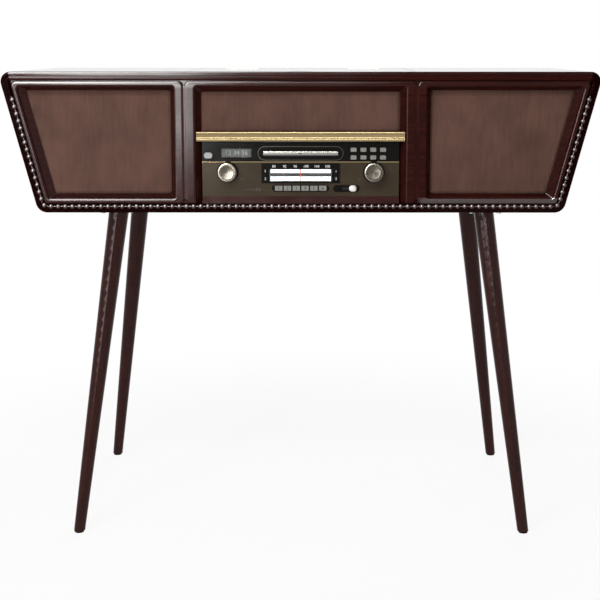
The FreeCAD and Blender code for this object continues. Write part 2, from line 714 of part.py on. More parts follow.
def speaker_cone():
    """Thin cone with its dust cap, hung inside the basket."""
    rim_r = SPEAKER_CUTOUT_R - CONE_CLEARANCE
    front_y = BAFFLE_BACK_Y
    throat_y = front_y + CONE_DEPTH
    profile = [
        (rim_r, front_y),
        (CONE_THROAT_R, throat_y),
        (0, throat_y - CONE_THROAT_R / 2),
        (0, throat_y - CONE_THROAT_R / 2 + CONE_T),
        (CONE_THROAT_R, throat_y + CONE_T),
        (rim_r, front_y + CONE_T),
    ]
    return turned(profile, SPEAKER_X, SPEAKER_Z)


def gold_bar():
    """Bar with a bright ridge above and below a groove."""
    front_y = BAR_BACK_Y - BAR_DEPTH
    bar = bar_block()
    bar = bar.makeFillet(BAR_EDGE_R, edges_at(bar, front_y))
    floor_y = front_y + BAR_GROOVE_DEPTH
    middle = (BAR_BOTTOM_Z + BAR_TOP_Z) / 2
    return bar.cut(front_box(0, middle, BAR_LENGTH, BAR_GROOVE_W, front_y, floor_y))


def leg(side_x, side_y):
    """Round tapered leg, splayed outwards, with the stud that screws into its plate."""
    top = V(side_x * LEG_TOP_X, side_y * LEG_TOP_Y, PLATE_BOTTOM_Z)
    foot = V(side_x * FOOT_X, side_y * FOOT_Y, 0)
    run = foot - top
    along = V(run).normalize()
    spare = 2 * LEG_TOP_R
    taper = (LEG_TOP_R - LEG_FOOT_R) / run.Length
    big = LEG_TOP_R + taper * spare
    small = LEG_FOOT_R - taper * spare
    body = Part.makeCone(big, small, run.Length + 2 * spare, top - along * spare, along)
    reach = max(FOOT_X, FOOT_Y) + spare
    body = body.common(box(-reach, reach, -reach, reach, GLIDE_T, PLATE_BOTTOM_Z))
    stud = rod(LEG_STUD_R, top + along * LEG_STUD_L, top - along * (LEG_STUD_L + LEG_PLATE_T))
    return body.fuse(stud).removeSplitter()


def leg_plate(side_x, side_y):
    """Square steel plate under the bottom board."""
    x, y, half = side_x * LEG_TOP_X, side_y * LEG_TOP_Y, LEG_PLATE_SIDE / 2
    return box(x - half, x + half, y - half, y + half, PLATE_BOTTOM_Z, CABINET_BOTTOM_Z)


def plate_screws(side_x, side_y):
    """Four screws in the corners of one leg plate."""
    arm = LEG_PLATE_SIDE / 2 - SCREW_INSET
    x, y = side_x * LEG_TOP_X, side_y * LEG_TOP_Y
    return [screw(V(x + a * arm, y + b * arm, PLATE_BOTTOM_Z), Z_AXIS) for a in (-1, 1) for b in (-1, 1)]


def glide(side_x, side_y):
    """Plastic glide under a foot."""
    at = V(side_x * FOOT_X, side_y * FOOT_Y, 0)
    return rod(GLIDE_R, at, at + Z_AXIS * GLIDE_T)


def rear_screws():
    """Screws through the rear panel into the rear edges of the dividers."""
    x = BAY_SEAM_X - DIVIDER_T / 2
    low, high = FLOOR_Z + BOARD_T, CEILING_Z - BOARD_T
    heights = [low, (low + high) / 2, high]
    return [screw(V(side * x, REAR_FACE_Y, z), V(0, -1, 0)) for side in (-1, 1) for z in heights]


def knuckle_spans(first):
    """X ranges of every second knuckle of a hinge, from the first one named."""
    length = (HINGE_LENGTH - (HINGE_KNUCKLES - 1) * KNUCKLE_GAP) / HINGE_KNUCKLES
    starts = [i * (length + KNUCKLE_GAP) for i in range(first, HINGE_KNUCKLES, 2)]
    return [(s - HINGE_LENGTH / 2, s - HINGE_LENGTH / 2 + length) for s in starts]


def hinge_leaf(x, side, first, bore_r):
    """One leaf with its knuckles; side is +1 for the rail's leaf and -1 for the lid's."""
    far = HINGE_Y + side * HINGE_GAP / 2
    near = far - side * HINGE_LEAF_T
    y0, y1 = min(far, near), max(far, near)
    top_z = HINGE_Z - HINGE_BARREL_R - KNUCKLE_GAP
    half = HINGE_LENGTH / 2
    shapes = [box(x - half, x + half, y0, y1, HINGE_Z - HINGE_LEAF_DROP, top_z)]
    bores = []
    for a, b in knuckle_spans(first):
        shapes.append(box(x + a, x + b, y0, y1, top_z, HINGE_Z))
        shapes.append(rod(HINGE_BARREL_R, V(x + a, HINGE_Y, HINGE_Z), V(x + b, HINGE_Y, HINGE_Z)))
        bores.append(rod(bore_r, V(x + a, HINGE_Y, HINGE_Z), V(x + b, HINGE_Y, HINGE_Z)))
    return fused(shapes).cut(bores)


def hinge_pin(x):
    """Pin through all knuckles of one hinge."""
    half = HINGE_LENGTH / 2
    return rod(HINGE_PIN_R, V(x - half, HINGE_Y, HINGE_Z), V(x + half, HINGE_Y, HINGE_Z))


def hinge_room(x):
    """Room for the barrel of one hinge in the wood on both sides."""
    half = HINGE_LENGTH / 2 + HINGE_ROOM
    radius = HINGE_BARREL_R + HINGE_ROOM
    return rod(radius, V(x - half, HINGE_Y, HINGE_Z), V(x + half, HINGE_Y, HINGE_Z))


def lid():
    """Lid over the turntable, with a finger notch in its front edge."""
    half = LID_HOLE_HALF - LID_GAP
    front_y = FRAME_BACK_Y + LID_GAP
    panel = box(-half, half, front_y, LID_REAR_Y - HINGE_GAP, CEILING_Z, TOP_Z)
    centre_y = front_y + FINGER_NOTCH_DEPTH - FINGER_NOTCH_R
    notch = rod(FINGER_NOTCH_R, V(0, centre_y, CEILING_Z), V(0, centre_y, TOP_Z))
    return panel.cut([notch, hinge_room(-HINGE_X), hinge_room(HINGE_X)])


def jack_places():
    """X of each round socket."""
    return [-INLET_X + i * SOCKET_PITCH for i in range(SOCKET_COUNT)]


def rear_jacks():
    """Row of round sockets with flanges."""
    made = []
    for x in jack_places():
        inside, face = V(x, REAR_FACE_Y - SOCKET_L, SOCKET_Z), V(x, REAR_FACE_Y, SOCKET_Z)
        outside = V(x, REAR_FACE_Y + SOCKET_FLANGE_T, SOCKET_Z)
        barrel = rod(SOCKET_R, inside, face).fuse(rod(SOCKET_R + SOCKET_FLANGE_T, face, outside))
        made.append(barrel.cut(rod(SOCKET_R / 2, face - Y_AXIS * (SOCKET_L / 2), outside)).removeSplitter())
    return made


def mains_inlet():
    """Flanged inlet with an open well for a mains connector."""
    half_w, half_h = INLET_W / 2, INLET_H / 2
    back, face, out = REAR_FACE_Y - INLET_DEPTH, REAR_FACE_Y, REAR_FACE_Y + SOCKET_FLANGE_T
    body = box(INLET_X - half_w, INLET_X + half_w, back, face, SOCKET_Z - half_h, SOCKET_Z + half_h)
    wide, tall = half_w + INLET_FLANGE, half_h + INLET_FLANGE
    flange = box(INLET_X - wide, INLET_X + wide, face, out, SOCKET_Z - tall, SOCKET_Z + tall)
    deep, narrow, low = back + INLET_WELL, half_w - INLET_WELL, half_h - INLET_WELL
    well = box(INLET_X - narrow, INLET_X + narrow, deep, out, SOCKET_Z - low, SOCKET_Z + low)
    return body.fuse(flange).cut(well).removeSplitter()


def rear_panel(screws):
    """Rear panel inside the cabinet's edges, with vents and holes for its fittings."""
    panel = prism(inset(OUTLINE, same(BOARD_T)), same(0), REAR_PANEL_Y, REAR_FACE_Y)
    cutters = screws + [front_box(INLET_X, SOCKET_Z, INLET_W, INLET_H, REAR_PANEL_Y, REAR_FACE_Y)]
    for x in jack_places():
        cutters.append(rod(SOCKET_R, V(x, REAR_PANEL_Y, SOCKET_Z), V(x, REAR_FACE_Y, SOCKET_Z)))
    for i in range(VENT_COUNT):
        x = VENT_X + (i - (VENT_COUNT - 1) / 2) * VENT_PITCH
        low, high = VENT_Z - VENT_H / 2, VENT_Z + VENT_H / 2
        cutters.append(box(x - VENT_W / 2, x + VENT_W / 2, REAR_PANEL_Y, REAR_FACE_Y, low, high))
    return panel.cut(cutters)


def post(radius, x, y, z0, z1):
    """Upright cylinder."""
    return rod(radius, V(x, y, z0), V(x, y, z1))


def spindle():
    """Fixed spindle with its collar on the deck and its nut below."""
    tip = MAT_TOP_Z + SPINDLE_ABOVE_MAT
    shaft = post(SPINDLE_R, PLATTER_X, PLATTER_Y, DECK_BOTTOM_Z - SPINDLE_NUT_T, tip)
    collar = post(SPINDLE_COLLAR_R, PLATTER_X, PLATTER_Y, DECK_TOP_Z, RING_BOTTOM_Z - REST_GAP)
    nut = post(SPINDLE_COLLAR_R, PLATTER_X, PLATTER_Y, DECK_BOTTOM_Z - SPINDLE_NUT_T, DECK_BOTTOM_Z)
    return fused([shaft, collar, nut])


def platter():
    """Platter with the drive ring under it, bored to run on the spindle."""
    disc = post(PLATTER_R, PLATTER_X, PLATTER_Y, PLATTER_BOTTOM_Z, MAT_BOTTOM_Z)
    drive = post(DRIVE_RING_R, PLATTER_X, PLATTER_Y, RING_BOTTOM_Z, PLATTER_BOTTOM_Z)
    bore = post(SPINDLE_R + SHAFT_RUNNING, PLATTER_X, PLATTER_Y, RING_BOTTOM_Z, MAT_BOTTOM_Z)
    return disc.fuse(drive).cut(bore).removeSplitter()


def platter_mat():
    """Flat mat with a hole round the spindle."""
    disc = post(MAT_R, PLATTER_X, PLATTER_Y, MAT_BOTTOM_Z, MAT_TOP_Z)
    return disc.cut(post(SPINDLE_R + REST_GAP, PLATTER_X, PLATTER_Y, MAT_BOTTOM_Z, MAT_TOP_Z))


def motor_pulley():
    """Pulley and the motor shaft that carries it."""
    wheel = post(PULLEY_R, MOTOR_X, MOTOR_Y, RING_BOTTOM_Z, PLATTER_BOTTOM_Z - REST_GAP)
    shaft = post(PULLEY_SHAFT_R, MOTOR_X, MOTOR_Y, DECK_BOTTOM_Z - PULLEY_SHAFT_L, RING_BOTTOM_Z)
    return wheel.fuse(shaft).removeSplitter()


def drive_motor():
    """Motor can under the deck, bored for its shaft."""
    can = post(MOTOR_R, MOTOR_X, MOTOR_Y, DECK_BOTTOM_Z - MOTOR_H, DECK_BOTTOM_Z)
    low = DECK_BOTTOM_Z - PULLEY_SHAFT_L - REST_GAP
    return can.cut(post(PULLEY_SHAFT_R + SHAFT_RUNNING, MOTOR_X, MOTOR_Y, low, DECK_BOTTOM_Z))


def belt_loop(big_r, small_r, z, height):
    """Filled loop round two circles: the drive ring's and the pulley's."""
    big, small = V(PLATTER_X, PLATTER_Y, z), V(MOTOR_X, MOTOR_Y, z)
    towards = math.atan2(MOTOR_Y - PLATTER_Y, MOTOR_X - PLATTER_X)
    spread = math.acos((big_r - small_r) / MOTOR_DISTANCE)

    def on(centre, radius, angle):
        return centre + V(math.cos(angle), math.sin(angle), 0) * radius

    left, right = towards + spread, towards - spread
    edges = [
        Part.Arc(on(big, big_r, left), on(big, big_r, towards + math.pi), on(big, big_r, right)).toShape(),
        Part.LineSegment(on(big, big_r, right), on(small, small_r, right)).toShape(),
        Part.Arc(
            on(small, small_r, right), on(small, small_r, towards), on(small, small_r, left)).toShape(),
        Part.LineSegment(on(small, small_r, left), on(big, big_r, left)).toShape(),
    ]
    return Part.Face(Part.Wire(edges)).extrude(V(0, 0, height))


def drive_belt():
    """Flat belt round the drive ring and the pulley, just clear of both."""
    low = RING_BOTTOM_Z + (DRIVE_RING_H - BELT_W) / 2
    inside = belt_loop(DRIVE_RING_R + BELT_GAP, PULLEY_R + BELT_GAP, low, BELT_W)
    outside = belt_loop(DRIVE_RING_R + BELT_GAP + BELT_T, PULLEY_R + BELT_GAP + BELT_T, low, BELT_W)
    return outside.cut(inside)


def deck_plate(through):
    """Deck between the dividers, with holes for what passes through it."""
    deck = box(-BAY_HALF, BAY_HALF, BAFFLE_BACK_Y, REAR_PANEL_Y, DECK_BOTTOM_Z, DECK_TOP_Z)
    shaft_hole = post(PULLEY_R + REST_GAP, MOTOR_X, MOTOR_Y, DECK_BOTTOM_Z, DECK_TOP_Z)
    return deck.cut(through + [shaft_hole])


def arm_direction(angle):
    """Unit vector of the tonearm after it has swung in by the angle."""
    turn = math.radians(angle)
    return V(-math.sin(turn), -math.cos(turn), 0)


def tonearm_base():
    """Foot and pillar of the arm, with the lifter's bush and the cue lever's post and pin."""
    foot_top = DECK_TOP_Z + ARM_BASE_T
    bush = V(ARM_X, ARM_Y, 0) + arm_direction(LIFTER_ROD_ANGLE) * LIFTER_RADIUS
    half = CUE_POST_W / 2
    shapes = [
        post(ARM_BASE_R, ARM_X, ARM_Y, DECK_TOP_Z, foot_top),
        post(ARM_PILLAR_R, ARM_X, ARM_Y, DECK_TOP_Z, YOKE_BOTTOM_Z - REST_GAP),
        post(LIFTER_BUSH_R, bush.x, bush.y, DECK_TOP_Z, DECK_TOP_Z + LIFTER_BUSH_H),
        box(bush.x - LIFTER_BUSH_R, CUE_X + half, bush.y - LIFTER_BUSH_R, ARM_Y, DECK_TOP_Z, foot_top),
        box(CUE_X - half, CUE_X + half, CUE_Y - half, CUE_Y + half, DECK_TOP_Z, CUE_Z + CUE_HUB_R),
        rod(CUE_PIN_R, V(CUE_X, CUE_Y, CUE_Z), V(CUE_X + half + CUE_PIN_L, CUE_Y, CUE_Z)),
    ]
    socket_low = YOKE_BOTTOM_Z - YOKE_SHAFT_L - REST_GAP
    bores = [
        post(YOKE_SHAFT_R + SHAFT_RUNNING, ARM_X, ARM_Y, socket_low, YOKE_BOTTOM_Z),
        post(LIFTER_ROD_R + SHAFT_RUNNING, bush.x, bush.y, foot_top - REST_GAP, DECK_TOP_Z + LIFTER_BUSH_H),
    ]
    return fused(shapes).cut(bores)


def tonearm_yoke():
    """Turning yoke: shaft, disc and two cheeks bored for the arm's pivot."""
    outside = YOKE_INSIDE + YOKE_CHEEK_T
    deep = YOKE_CHEEK_D / 2
    shapes = [
        post(YOKE_SHAFT_R, ARM_X, ARM_Y, YOKE_BOTTOM_Z - YOKE_SHAFT_L, YOKE_BOTTOM_Z),
        post(math.hypot(outside, deep), ARM_X, ARM_Y, YOKE_BOTTOM_Z, YOKE_TOP_Z),
    ]
    for side in (-1, 1):
        x0, x1 = sorted((ARM_X + side * YOKE_INSIDE, ARM_X + side * outside))
        shapes.append(box(x0, x1, ARM_Y - deep, ARM_Y + deep, YOKE_TOP_Z, ARM_Z + deep))
    left, right = V(ARM_X - outside, ARM_Y, ARM_Z), V(ARM_X + outside, ARM_Y, ARM_Z)
    return fused(shapes).cut(rod(ARM_PIVOT_R + SHAFT_RUNNING, left, right))


def tonearm():
    """Arm tube with its pivot shaft and headshell."""
    outside = YOKE_INSIDE + YOKE_CHEEK_T
    shell_front = STYLUS_Y - HEADSHELL_NOSE
    shell_back = shell_front + HEADSHELL_L
    half, low, high = HEADSHELL_W / 2, ARM_Z - HEADSHELL_T / 2, ARM_Z + HEADSHELL_T / 2
    shapes = [
        rod(ARM_TUBE_R, V(ARM_X, ARM_Y + ARM_REAR, ARM_Z), V(ARM_X, shell_back - ARM_TUBE_R, ARM_Z)),
        rod(ARM_PIVOT_R, V(ARM_X - outside, ARM_Y, ARM_Z), V(ARM_X + outside, ARM_Y, ARM_Z)),
        box(ARM_X - half, ARM_X + half, shell_front, shell_back, low, high),
    ]
    return fused(shapes)


def counterweight():
    """Round weight on the rear of the arm tube."""
    start = V(ARM_X, ARM_Y + COUNTERWEIGHT_FROM_PIVOT, ARM_Z)
    return ring(COUNTERWEIGHT_R, ARM_TUBE_R, start, start + Y_AXIS * COUNTERWEIGHT_L)


def cartridge():
    """Cartridge block under the headshell with its stylus."""
    top = ARM_Z - HEADSHELL_T / 2
    low = top - CARTRIDGE_H
    half, front = CARTRIDGE_W / 2, STYLUS_Y - CARTRIDGE_NOSE
    body = box(ARM_X - half, ARM_X + half, front, front + CARTRIDGE_L, low, top)
    stylus = Part.makeCone(STYLUS_TIP_R, STYLUS_H / 2, STYLUS_H, V(ARM_X, STYLUS_Y, low - STYLUS_H), Z_AXIS)
    return body.fuse(stylus).removeSplitter()


def arm_rest():
    """Post with a shelf under the arm tube, open towards the platter."""
    x, y = ARM_X + REST_SIDE, ARM_Y - REST_FROM_PIVOT
    shelf_top = ARM_Z - ARM_TUBE_R - REST_GAP
    half = REST_HOOK_W / 2
    shapes = [
        post(REST_FOOT_R, x, y, DECK_TOP_Z, DECK_TOP_Z + REST_FOOT_T),
        post(REST_POST_R, x, y, DECK_TOP_Z, ARM_Z + ARM_TUBE_R),
        box(ARM_X - ARM_TUBE_R, x, y - half, y + half, shelf_top - REST_HOOK_T, shelf_top),
    ]
    return fused(shapes)


def cue_lifter():
    """Curved rail under the arm on a rod that slides in the base's bush."""
    low = LIFTER_TOP_Z - LIFTER_T
    centre = V(ARM_X, ARM_Y, low)
    outer = Part.makeCylinder(LIFTER_RADIUS + LIFTER_W / 2, LIFTER_T, centre, Z_AXIS, LIFTER_SWEEP)
    inner = Part.makeCylinder(LIFTER_RADIUS - LIFTER_W / 2, LIFTER_T, centre, Z_AXIS)
    rail = outer.cut(inner)
    rail.rotate(centre, Z_AXIS, -90 - LIFTER_START - LIFTER_SWEEP)
    at = V(ARM_X, ARM_Y, 0) + arm_direction(LIFTER_ROD_ANGLE) * LIFTER_RADIUS
    return fused([rail, post(LIFTER_ROD_R, at.x, at.y, DECK_TOP_Z + ARM_BASE_T, LIFTER_TOP_Z)])


def cue_lever():
    """Lever on the cue pin, pointing to the front at rest."""
    x0 = CUE_X + CUE_POST_W / 2 + REST_GAP
    x1 = x0 + CUE_LEVER_T
    middle = (x0 + x1) / 2
    hub = rod(CUE_HUB_R, V(x0, CUE_Y, CUE_Z), V(x1, CUE_Y, CUE_Z))
    half = CUE_LEVER_W / 2
    arm = box(x0, x1, CUE_Y - CUE_LEVER_L, CUE_Y, CUE_Z - half, CUE_Z + half)
    tip = Part.makeSphere(CUE_TIP_R, V(middle, CUE_Y - CUE_LEVER_L, CUE_Z))
    lever = fused([hub, arm, tip])
    lever = lever.cut(rod(CUE_PIN_R + SHAFT_RUNNING, V(x0, CUE_Y, CUE_Z), V(x1, CUE_Y, CUE_Z)))
    lever.rotate(V(middle, CUE_Y, CUE_Z), X_AXIS, -CUE_REST_ANGLE)
    return lever


def key_places():
    """Middle of each key, row by row from the lower left."""
    low = FASCIA_SPLIT_Z + KEY_UP
    rows = [low, low + KEY_PITCH_Z]
    return [(KEY_FIRST_X + i * KEY_PITCH_X, z) for z in rows for i in range(KEY_COLUMNS)]


def key(x, z):
    """Key cap through the fascia with the stem that works its switch."""
    back = FASCIA_BACK_Y + KEY_BACK
    cap = front_pill(x, z, KEY_W, KEY_H, KEY_CORNER_R, FASCIA_FRONT_Y - KEY_PROUD, back)
    stem = rod(KEY_STEM_R, V(x, back, z), V(x, BOARD_Y - KEY_TRAVEL - REST_GAP, z))
    return cap.fuse(stem).removeSplitter()


def power_button():
    """Oval button in the fascia; its stem reaches past the edge of the chassis to the board."""
    front, back = FASCIA_FRONT_Y - KEY_PROUD, FASCIA_BACK_Y - KEY_TRAVEL - REST_GAP
    cap = front_pill(POWER_X, POWER_Z, POWER_W, POWER_H, POWER_CORNER_R, front, back)
    stem_end = V(POWER_X, BOARD_Y - KEY_TRAVEL - REST_GAP, POWER_Z)
    return cap.fuse(rod(KEY_STEM_R, V(POWER_X, back, POWER_Z), stem_end)).removeSplitter()


def display_window():
    """Small clear window in the black strip."""
    front = FASCIA_FRONT_Y - DISPLAY_PROUD
    return front_box(DISPLAY_X, DISPLAY_Z, DISPLAY_W, DISPLAY_H, front, front + DISPLAY_T)


def fascia_strip(window):
    """Black upper strip with the tray's bezel and slot and the holes of the keys."""
    y0, y1 = FASCIA_FRONT_Y, FASCIA_BACK_Y
    strip = box(-FASCIA_HALF_W, FASCIA_HALF_W, y0, y1, FASCIA_SPLIT_Z, FASCIA_TOP_Z)
    proud = y0 - BEZEL_PROUD
    band = front_pill(0, TRAY_Z, BEZEL_W, BEZEL_H, BEZEL_H / 2 - BEZEL_BAND / 2, proud, y0)
    inner_w, inner_h = BEZEL_W - 2 * BEZEL_BAND, BEZEL_H - 2 * BEZEL_BAND
    inner_r = inner_h / 2 - BEZEL_BAND / 2
    band = band.cut(front_pill(0, TRAY_Z, inner_w, inner_h, inner_r, proud, y0))
    slot = front_box(0, TRAY_Z, TRAY_W + 2 * TRAY_GAP, TRAY_FRONT_H + 2 * TRAY_GAP, y0, y1)
    wide, tall = POWER_W + 2 * KEY_GAP, POWER_H + 2 * KEY_GAP
    power = front_pill(POWER_X, POWER_Z, wide, tall, POWER_CORNER_R + KEY_GAP, y0, y1)
    wide, tall = KEY_W + 2 * KEY_GAP, KEY_H + 2 * KEY_GAP
    holes = [front_pill(x, z, wide, tall, KEY_CORNER_R + KEY_GAP, y0, y1) for x, z in key_places()]
    return strip.fuse(band).removeSplitter().cut([slot, power, window] + holes)


def fascia_panel():
    """Bronze lower panel: sloping lip, legend pill, dial recess, knob holes and switch slot."""
    y0, y1 = FASCIA_FRONT_Y, FASCIA_BACK_Y
    panel = box(-FASCIA_HALF_W, FASCIA_HALF_W, y0, y1, FASCIA_BOTTOM_Z, FASCIA_SPLIT_Z)
    low = FASCIA_BOTTOM_Z
    corners = [(y0, low), (y0 - FASCIA_LIP_DEPTH, low), (y0, low + FASCIA_LIP_H)]
    lip_points = [V(-FASCIA_HALF_W, y, z) for y, z in corners]
    lip = Part.Face(Part.makePolygon(lip_points + lip_points[:1])).extrude(X_AXIS * (2 * FASCIA_HALF_W))
    radius = LEGEND_H / 2 - LEGEND_PROUD / 2
    legend = front_pill(0, LEGEND_Z, LEGEND_W, LEGEND_H, radius, y0 - LEGEND_PROUD, y0)
    depth = POINTER_T + 2 * POINTER_GAP
    slot_z = DIAL_SLOT_BOTTOM_Z + DIAL_SLOT_H / 2
    recess = front_box(0, slot_z, DIAL_STRIP_W, DIAL_SLOT_H, y0, y0 + depth)
    hole_r = KNOB_SHAFT_R + KNOB_HOLE_GAP
    knob_holes = [rod(hole_r, V(x, y0, CONTROL_Z), V(x, y1, CONTROL_Z)) for x in (-KNOB_X, KNOB_X)]
    switch_w = SWITCH_STEM_W + SWITCH_TRAVEL + 2 * SWITCH_GAP
    switch_h = SWITCH_STEM_H + 2 * SWITCH_GAP
    switch_slot = front_box(SWITCH_X - SWITCH_TRAVEL / 2, SWITCH_Z, switch_w, switch_h, y0, y1)
    return fused([panel, lip, legend]).cut([recess, switch_slot] + knob_holes)


def dial_frame():
    """Black frame of the tuning dial, open where the scale shows."""
    front = FASCIA_FRONT_Y - DIAL_PROUD
    middle = DIAL_BOTTOM_Z + DIAL_H / 2
    slot_z = DIAL_SLOT_BOTTOM_Z + DIAL_SLOT_H / 2
    frame = front_box(0, middle, DIAL_W, DIAL_H, front, FASCIA_FRONT_Y)
    return frame.cut(front_box(0, slot_z, DIAL_STRIP_W, DIAL_SLOT_H, front, FASCIA_FRONT_Y))


def dial_glass():
    """Clear pane in the dial frame, in front of the pointer."""
    slot_z = DIAL_SLOT_BOTTOM_Z + DIAL_SLOT_H / 2
    return front_box(0, slot_z, DIAL_STRIP_W, DIAL_SLOT_H, FASCIA_FRONT_Y - DIAL_GLASS_T, FASCIA_FRONT_Y)


def dial_pointer():
    """Thin upright pointer that runs along the scale behind the pane."""
    slot_z = DIAL_SLOT_BOTTOM_Z + DIAL_SLOT_H / 2
    y0 = FASCIA_FRONT_Y + POINTER_GAP
    return front_box(0, slot_z, POINTER_W, DIAL_SLOT_H - 2 * POINTER_GAP, y0, y0 + POINTER_T)


def knob(x):
    """Turned knob with a skirt, a ring groove on its face and its shaft."""
    back = FASCIA_FRONT_Y - KNOB_GAP
    front = back - KNOB_L
    skirt = back - KNOB_SKIRT_T
    shaft_end = BOARD_Y - PCB_T
    groove = KNOB_EDGE_R / 2
    profile = [
        (0, shaft_end),
        (KNOB_SHAFT_R, shaft_end),
        (KNOB_SHAFT_R, back),
        (KNOB_SKIRT_R, back),
        (KNOB_SKIRT_R, skirt),
        (KNOB_R, skirt),
        (KNOB_R, front + KNOB_EDGE_R),
        (KNOB_R - KNOB_EDGE_R, front),
        (KNOB_GROOVE_R + groove, front),
        (KNOB_GROOVE_R, front + groove),
        (KNOB_GROOVE_R - groove, front),
        (0, front),
    ]
    return turned(profile, x, CONTROL_Z)


def band_switch():
    """Slide switch cap and its stem through the slot."""
    cap = front_pill(
        SWITCH_X, SWITCH_Z, SWITCH_W, SWITCH_H, SWITCH_STEM_H / 2,
        FASCIA_FRONT_Y - SWITCH_PROUD, FASCIA_FRONT_Y - SWITCH_GAP)
    stem_back = BOARD_Y - POT_L - REST_GAP
    stem_front = FASCIA_FRONT_Y - SWITCH_GAP
    stem = front_box(SWITCH_X, SWITCH_Z, SWITCH_STEM_W, SWITCH_STEM_H, stem_front, stem_back)
    return cap.fuse(stem).removeSplitter()


def control_board():
    """Upright circuit board with the two pots and the body of the slide switch."""
    half = CHASSIS_HALF_W - CHASSIS_T
    low, high = FLOOR_Z + CHASSIS_T, CHASSIS_TOP_Z - CHASSIS_T
    board = box(-half, half, BOARD_Y, BOARD_Y + PCB_T, low, high)
    wide = TRAY_W / 2 + BOARD_NOTCH
    board = board.cut(box(-wide, wide, BOARD_Y, BOARD_Y + PCB_T, TRAY_BOTTOM_Z - BOARD_NOTCH, high))
    shapes = [board]
    bore = KNOB_SHAFT_R + SHAFT_RUNNING
    for x in (-KNOB_X, KNOB_X):
        front, pot, back = (V(x, y, CONTROL_Z) for y in (FASCIA_BACK_Y, BOARD_Y - POT_L, BOARD_Y))
        sleeve = rod(POT_BUSH_R, front, pot).fuse(rod(POT_R, pot, back)).removeSplitter()
        shapes.append(sleeve.cut(rod(bore, front, back)))
    wide = SWITCH_TRAVEL + SWITCH_W
    switch_x = SWITCH_X - SWITCH_TRAVEL / 2
    shapes.append(front_box(switch_x, SWITCH_Z, wide, SWITCH_H, BOARD_Y - POT_L, BOARD_Y))
    return shapes


def receiver_chassis():
    """Folded steel tub behind the fascia, with the shelf and tongue that carry the disc tray."""
    y0, y1 = FASCIA_BACK_Y, FASCIA_BACK_Y + CHASSIS_DEPTH
    half, t = CHASSIS_HALF_W, CHASSIS_T
    tub = box(-half, half, y0, y1, FLOOR_Z, CHASSIS_TOP_Z)
    tub = tub.cut(box(-half + t, half - t, y0, y1 - t, FLOOR_Z + t, CHASSIS_TOP_Z - t))
    shelf_top = TRAY_BOTTOM_Z - REST_GAP
    shelf_back = TRAY_FRONT_Y + TRAY_L
    shelf = box(-half + t, half - t, BOARD_Y + PCB_T, shelf_back, shelf_top - t, shelf_top)
    tongue = box(-TRAY_W / 2, TRAY_W / 2, y0, BOARD_Y + PCB_T, shelf_top - t, shelf_top)
    return fused([tub, shelf, tongue])


def cd_tray():
    """Disc tray with a round recess, a slot for the reader and a bright front bar."""
    half = TRAY_W / 2
    plate = box(-half, half, TRAY_FRONT_Y, TRAY_FRONT_Y + TRAY_L, TRAY_BOTTOM_Z, TRAY_BOTTOM_Z + TRAY_T)
    bar = front_box(0, TRAY_Z, TRAY_W, TRAY_FRONT_H, TRAY_FRONT_Y, TRAY_FRONT_Y + TRAY_FRONT_T)
    disc_y = TRAY_FRONT_Y + TRAY_DISC_BACK
    top = TRAY_BOTTOM_Z + TRAY_T
    recess = post(TRAY_DISC_R, 0, disc_y, top - TRAY_DISC_DEPTH, top)
    slot = box(-TRAY_SLOT_W / 2, TRAY_SLOT_W / 2, disc_y, disc_y + TRAY_SLOT_L, TRAY_BOTTOM_Z, top)
    return plate.fuse(bar).removeSplitter().cut([recess, slot])


def power_supply():
    """Mains transformer and the amplifier's finned heatsink on the chassis floor."""
    floor = FLOOR_Z + CHASSIS_T
    y0 = BOARD_Y + SUPPLY_FROM_BOARD
    x0, x1 = -TRANSFORMER_X - TRANSFORMER_W / 2, -TRANSFORMER_X + TRANSFORMER_W / 2
    core = box(x0, x1, y0, y0 + TRANSFORMER_D, floor, floor + TRANSFORMER_H)
    for margin_y in (y0 - COIL_MARGIN, y0 + TRANSFORMER_D):
        core = core.fuse(box(
            x0 + COIL_MARGIN, x1 - COIL_MARGIN, margin_y, margin_y + COIL_MARGIN,
            floor + COIL_MARGIN, floor + TRANSFORMER_H - COIL_MARGIN))
    sink_x = TRANSFORMER_X - HEATSINK_W / 2
    root, top = y0 + HEATSINK_T, floor + HEATSINK_H
    shapes = [box(sink_x, sink_x + HEATSINK_W, y0, root, floor, top)]
    pitch = (HEATSINK_W - FIN_T) / (FIN_COUNT - 1)
    for i in range(FIN_COUNT):
        x = sink_x + i * pitch
        shapes.append(box(x, x + FIN_T, root, root + FIN_L, floor, top))
    return [core.removeSplitter(), fused(shapes)]


CORNERS = {"front_left": (-1, -1), "front_right": (1, -1), "rear_left": (-1, 1), "rear_right": (1, 1)}


